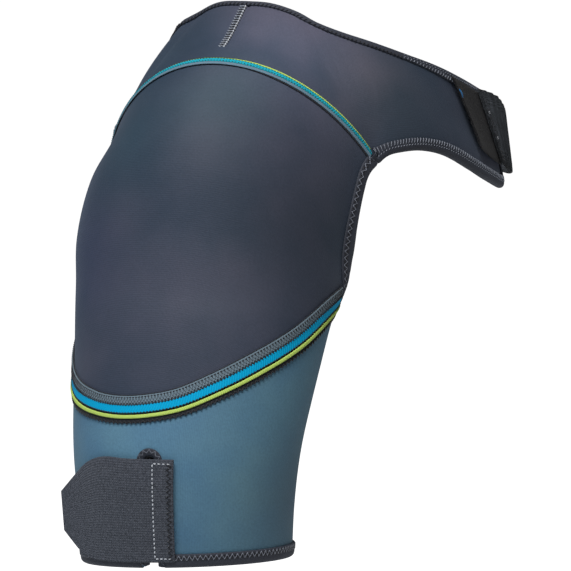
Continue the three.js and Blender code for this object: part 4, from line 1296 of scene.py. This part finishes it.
hook_size = (HOOK_TAB_LENGTH, 2 * STRAP_WIDTH)
hook_bm = closed_ends(laid_grid((44, 72), hook_spot, hook_size, closed=True))
finished("strap_hook_tab_tape", hook_bm, [hook_tape()], "strap_hook_tab")

# Stitching
# Polyester thread, sewn through all layers: leaning overlock stitches along the flaps, zigzags with
# a dark looper thread on the other bindings, dark rows that hold the tapes, and a ladder on the dart.
THREAD_RADIUS = 0.2 * MM
THREAD_SIDES = 6
DASH_SIDES = 5
DIP = np.array([-1.2, 0.4, 0.8, 0.4, -1.2])
HALVES = np.linspace(-0.5, 0.5, 5)
ON_BINDING = BOUND + 0.3 * THREAD_RADIUS


def thread_finish(name, light, dark):
    """Twisted polyester thread."""
    thread = Finish(name, roughness=0.6, sheen=0.2, specular=0.35)
    twist = thread.noise(2500, 2)
    thread.colour(thread.mix(thread.ramp(twist, 0.3, 0.7), dark, light))
    return thread.material


white_thread = thread_finish("white_thread", (0.640, 0.670, 0.720), (0.460, 0.490, 0.540))
light_thread = thread_finish("light_thread", (0.330, 0.360, 0.420), (0.200, 0.220, 0.270))
soft_thread = thread_finish("soft_grey_thread", (0.230, 0.250, 0.300), (0.140, 0.155, 0.195))
dark_thread = thread_finish("black_thread", (0.022, 0.023, 0.030), (0.008, 0.008, 0.012))
blue_thread = thread_finish("blue_thread", (0.030, 0.180, 0.420), (0.015, 0.110, 0.280))


def threads(rows, ways, radius=THREAD_RADIUS, sides=THREAD_SIDES):
    """Round threads, one along each row of close points, lying on a face whose ways out are given."""
    count, points = rows.shape[:2]
    tangent = unit(np.gradient(rows, axis=1))
    side = unit(np.cross(tangent, ways)).reshape(-1, 3)
    up = np.cross(side, tangent.reshape(-1, 3))
    spots = rows.reshape(-1, 3)

    def spot(u, v):
        i = np.round(u * (len(spots) - 1)).astype(int)
        turn = -2 * math.pi * v[:, None]
        return spots[i] + (side[i] * np.cos(turn) + up[i] * np.sin(turn)) * radius

    return laid_grid((len(spots) - 1, sides), spot, closed=True, gap=points if count > 1 else 0)


def joined(parts):
    """One mesh from several, which are freed."""
    whole = bmesh.new()
    for part in parts:
        scrap = bpy.data.meshes.new("scrap")
        part.to_mesh(scrap)
        part.free()
        whole.from_mesh(scrap)
        bpy.data.meshes.remove(scrap)
    return whole


def zigzag(lay, start, end, low, high, pitch, height, radius):
    """A thread that runs to and fro between two distances across, along a line."""
    count = round((end - start) / pitch)
    share = np.arange(2 * count) / 2 / count
    across = np.tile([low, high], count)
    along = start + (end - start) * share
    spots = lay(along, across, height)
    above = lay(along, across, height + 0.5 * MM)
    return threads(spots[None], unit(above - spots)[None], radius)


def dashes(lay, start, end, across, length, pitch, height, radius=THREAD_RADIUS, lean=0.0, growth=0.0):
    """Single stitches in a row, each a short bent thread that dips into the cloth at both ends.

    A stitch is length long along the line and lean across it. With growth, the pitch grows on the way.
    """
    count = max(1, round(abs(end - start) / pitch))
    share = (np.arange(count) + 0.5) / count
    middle = start + (end - start) * (share + growth * share**2) / (1 + growth)
    along, side = middle[:, None] + HALVES * length, across + HALVES * lean + 0 * middle[:, None]
    spots = lay(along, side, height + DIP * radius)
    above = lay(along, side, height + DIP * radius + 0.5 * MM)
    return threads(spots, unit(above - spots), radius, DASH_SIDES)


def on_rim(along, across, height):
    """Places along the yoke's edge, across being a share of the binding's width there."""
    return rim.lay(along, across * rim_width(along), height)


EDGE_END = 1.5 * MM
CORNER_CLEARANCE = 4 * MM
CROWN_REACH = 95 * MM
# Columns: the row's distance from the edge, its stitches' lean; for the neck as shares of the width.
FLAP_ROWS = [(4.5 * MM, 2.6 * MM), (2.3 * MM, 0.5 * MM)]
NECK_ROWS = [(0.72, 0.42), (0.30, 0.10)]
neck_from, neck_to = rim_stops["neck"] + CORNER_CLEARANCE, rim_stops["back_end"] - CORNER_CLEARANCE
crown_from, crown_to = neck_from + CROWN_REACH, neck_to - CROWN_REACH
flap_stretches = [
    (EDGE_END, rim_stops["front_end"] + CORNER_CLEARANCE),
    (rim.length - EDGE_END, rim_stops["back_edge"] - CORNER_CLEARANCE),
]
edge_rows = [
    dashes(rim.lay, near, far, middle, 0.7 * MM, 2.5 * MM, ON_BINDING, 0.19 * MM, lean, growth=0.42)
    for near, far in flap_stretches
    for middle, lean in FLAP_ROWS
]
edge_rows += [
    dashes(on_rim, near, far, middle, 0.9 * MM, 2.3 * MM, ON_BINDING, 0.18 * MM, lean)
    for near, far in ((neck_from, crown_from), (crown_to, neck_to))
    for middle, lean in NECK_ROWS
]
finished("yoke_edge_stitches", joined(edge_rows), [light_thread])
crown_row = dashes(on_rim, crown_from, crown_to, 0.86, 1.2 * MM, 2.4 * MM, ON_BINDING, 0.32 * MM, 0.35)
finished("crown_edge_stitches", crown_row, [dark_thread])


def on_arm_edge(along, across, height):
    """Places along the armhole, across being a share of the binding's width there."""
    return arm_line.lay(along, across * arm_width(along), height)


# Columns: places, length of the edge, length left free at its ends, low, high, pitch, thread's radius.
ZIGZAG_EDGES = {
    "armhole_stitches": (on_arm_edge, arm_line.length, 1.5 * MM, 0.52, 0.88, 3.6 * MM, 0.30 * MM),
    "hem_stitches": (hem_line.lay, hem_line.length, 1.0 * MM, 3.5 * MM, 6.1 * MM, 2.8 * MM, 0.36 * MM),
    "slit_stitches": (slit_line.lay, slit_line.length, 0.5 * MM, 1.2 * MM, 3.0 * MM, 2.0 * MM, 0.22 * MM),
}
LOOPER_SUNK = 0.1 * MM
looper_rows = []
for name, (lay, length, free, low, high, pitch, radius) in ZIGZAG_EDGES.items():
    start, end = free, length - free
    light_row = zigzag(lay, start, end, low, high, pitch, ON_BINDING, radius)
    finished(name, light_row, [soft_thread])
    between = (start + pitch / 2, end - pitch / 2)
    looper_rows.append(zigzag(lay, *between, low, high, pitch, ON_BINDING - LOOPER_SUNK, radius))
finished("edge_looper_stitches", joined(looper_rows), [dark_thread])

on_grey = ON_TAPE + TAPE_THICK + 0.3 * THREAD_RADIUS
on_braid = ON_TAPE + BRAID_THICK
TAPE_END = 0.5 * MM
seam_ends = (seam_start + TAPE_END, seam_start + seam_run - TAPE_END)
band_ends = (BAND_END_BACK + TAPE_END, BAND_END_BACK + band_run - TAPE_END)
# Columns: share of the band's width, stitch length, pitch, height, thread's radius.
BAND_DASHES = [
    (0.415, 1.1 * MM, 1.9 * MM, on_grey, 0.28 * MM),
    (0.205, 1.1 * MM, 1.9 * MM, on_grey, 0.28 * MM),
    (0.140, 1.0 * MM, 1.8 * MM, on_braid, 0.30 * MM),
    (-0.135, 1.0 * MM, 1.8 * MM, on_braid, 0.30 * MM),
]
# Columns: low and high shares of the band's width, pitch, height, thread's radius.
BAND_ZIGZAGS = [
    (0.240, 0.380, 1.9 * MM, on_grey, 0.20 * MM),
    (-0.525, -0.420, 2.6 * MM, ON_TAPE + 0.1 * MM, 0.40 * MM),
    (0.485, 0.510, 1.9 * MM, ON_TAPE, 0.26 * MM),
]
SEAM_DASHES = [0.42, -0.10]
tape_rows = [dashes(joint.lay, *band_ends, share * BAND_WIDTH, *look) for share, *look in BAND_DASHES]
tape_rows += [
    zigzag(joint.lay, *band_ends, low * BAND_WIDTH, high * BAND_WIDTH, *look)
    for low, high, *look in BAND_ZIGZAGS
]
tape_rows += [
    dashes(on_seam, *seam_ends, share * half_tape, 0.8 * MM, 1.7 * MM, on_braid)
    for share in SEAM_DASHES
]
finished("tape_stitches", joined(tape_rows), [dark_thread])

DART_PITCH = 2.3 * MM
dart_q = np.linspace(*DART_SPAN, 120)
dart_line = Line(yoke, 0 * dart_q, dart_q)
dart_ends = (0, dart_line.length)
dart_gaps = (DART_PITCH / 2, dart_line.length - DART_PITCH / 2)
chain = dashes(dart_line.lay, *dart_ends, -1.5 * MM, 0.9 * MM, DART_PITCH, 0.15 * MM, 0.40 * MM)
finished("dart_chain_stitches", chain, [white_thread])
bars = [
    dashes(dart_line.lay, *dart_ends, 0.1 * MM, 0.2 * MM, DART_PITCH, 0.1 * MM, 0.30 * MM, 3.4 * MM),
    dashes(dart_line.lay, *dart_ends, 1.5 * MM, 0.7 * MM, DART_PITCH, 0.1 * MM, 0.32 * MM, 1.2 * MM),
]
finished("dart_overlock_stitches", joined(bars), [light_thread])
dark_bars = dashes(
    dart_line.lay, *dart_gaps, -0.2 * MM, 0.1 * MM, DART_PITCH, 0.1 * MM, 0.34 * MM, 3.8 * MM)
finished("dart_looper_stitches", dark_bars, [dark_thread])


def along_tab(gone, t, height):
    """Places on the cuff tab's outer face, for a row that runs away from its sewn edge."""
    return on_tab(gone, t, CUFF_TAB_THICK + height)


def up_tab(t, gone, height):
    """The same places, for a row that runs up the tab."""
    return along_tab(gone, t, height)


BOX_FOOT, BOX_TOP = 0.04, 0.955
BOX_FROM, BOX_TO = 1.6 * MM, 10.5 * MM
BOX_STITCH = 1.2 * MM
BOX_PITCH = 2.4 * MM
upright_stitch, upright_pitch = BOX_STITCH / CUFF_TAB_HEIGHT, BOX_PITCH / CUFF_TAB_HEIGHT
box_rows = [dashes(up_tab, BOX_FOOT, BOX_TOP, BOX_TO, upright_stitch, upright_pitch, 0.0, 0.36 * MM)]
box_rows += [
    dashes(along_tab, BOX_FROM, BOX_TO, t, BOX_STITCH, BOX_PITCH, 0.0, 0.34 * MM)
    for t in (BOX_TOP, BOX_FOOT)
]
finished("tab_box_stitches", joined(box_rows), [white_thread])
sewn_edge_pitch = 3.0 * MM / CUFF_TAB_HEIGHT
sewn_edge = zigzag(up_tab, 0.02, 0.98, 1.2 * MM, 3.4 * MM, sewn_edge_pitch, 0.1 * MM, 0.3 * MM)
finished("tab_edge_stitches", sewn_edge, [dark_thread])


def on_strap(across, along, height):
    """Points over the strap's outer face: a length up its width and a length from its front end."""
    t = across / STRAP_WIDTH
    return strap_face(along, t) + way_out(strap_face, along, t) * (STRAP_THICK / 2 + height)[..., None]


STRAP_ROWS = [1.6 * MM, 4.6 * MM]
STRAP_EDGE = 1 * MM
strap_rows = [
    dashes(on_strap, STRAP_EDGE, STRAP_WIDTH - STRAP_EDGE, row, 1.4 * MM, 2.1 * MM, 0.05 * MM, 0.26 * MM)
    for row in STRAP_ROWS
]
finished("strap_end_stitches", joined(strap_rows), [dark_thread])
# Columns: share of the strap's width, length from its end.
TACKS = [(0.66, 3.0 * MM), (0.33, 5.0 * MM)]
TACK_SHARE = 0.04
tack_rows = [
    dashes(
        on_strap,
        low * STRAP_WIDTH,
        (low + TACK_SHARE) * STRAP_WIDTH,
        row,
        length=0.6 * MM,
        pitch=0.8 * MM,
        height=0.1 * MM,
        radius=0.3 * MM,
        lean=1.8 * MM,
    )
    for low, row in TACKS
]
finished("strap_tack_stitches", joined(tack_rows), [white_thread])

LOOP_RADIUS = 0.45 * MM
LOOP_U = 0.04 + 0 * HALVES
LOOP_T = 0.75 + HALVES * 0.13
loop_row = on_hook_tab(LOOP_U, LOOP_T, HOOK_TAB_THICK + DIP * LOOP_RADIUS)[None]
loop_ways = unit(on_hook_tab(LOOP_U, LOOP_T, 3 * MM + 0 * HALVES)[None] - loop_row)
finished("hook_tab_blue_loop", threads(loop_row, loop_ways, LOOP_RADIUS), [blue_thread])

# Floor
# A plain white floor well under the brace, which is held up as a shoulder holds it. It reaches
# past the picture's top and glows for the camera alone, so that it melts into the room.
FLOOR_SIZE = 30
FLOOR_GLOW = 0.93
FLOOR_DROP = 0.25
floor_bm = bmesh.new()
bmesh.ops.create_grid(floor_bm, x_segments=1, y_segments=1, size=FLOOR_SIZE)
bmesh.ops.translate(floor_bm, verts=floor_bm.verts, vec=(0, 0, cad_box[0][2] - FLOOR_DROP))
floor_mesh = bpy.data.meshes.new("floor")
floor_bm.to_mesh(floor_mesh)
floor_bm.free()
floor_finish = Finish("white_floor", roughness=0.9, sheen=0.0)
floor_finish.colour(floor_finish.mix(floor_finish.noise(3), (0.9, 0.9, 0.9), (0.93, 0.93, 0.93)))
floor_seen = floor_finish.node("ShaderNodeLightPath")
floor_finish.shader.inputs["Emission Color"].default_value = (1, 1, 1, 1)
floor_glow = floor_finish.math("MULTIPLY", floor_seen.outputs["Is Camera Ray"], FLOOR_GLOW)
floor_finish.link(floor_glow, floor_finish.shader.inputs["Emission Strength"])
floor_mesh.materials.append(floor_finish.material)
floor = bpy.data.objects.new("floor", floor_mesh)
bpy.context.scene.collection.objects.link(floor)

bpy.context.view_layer.update()
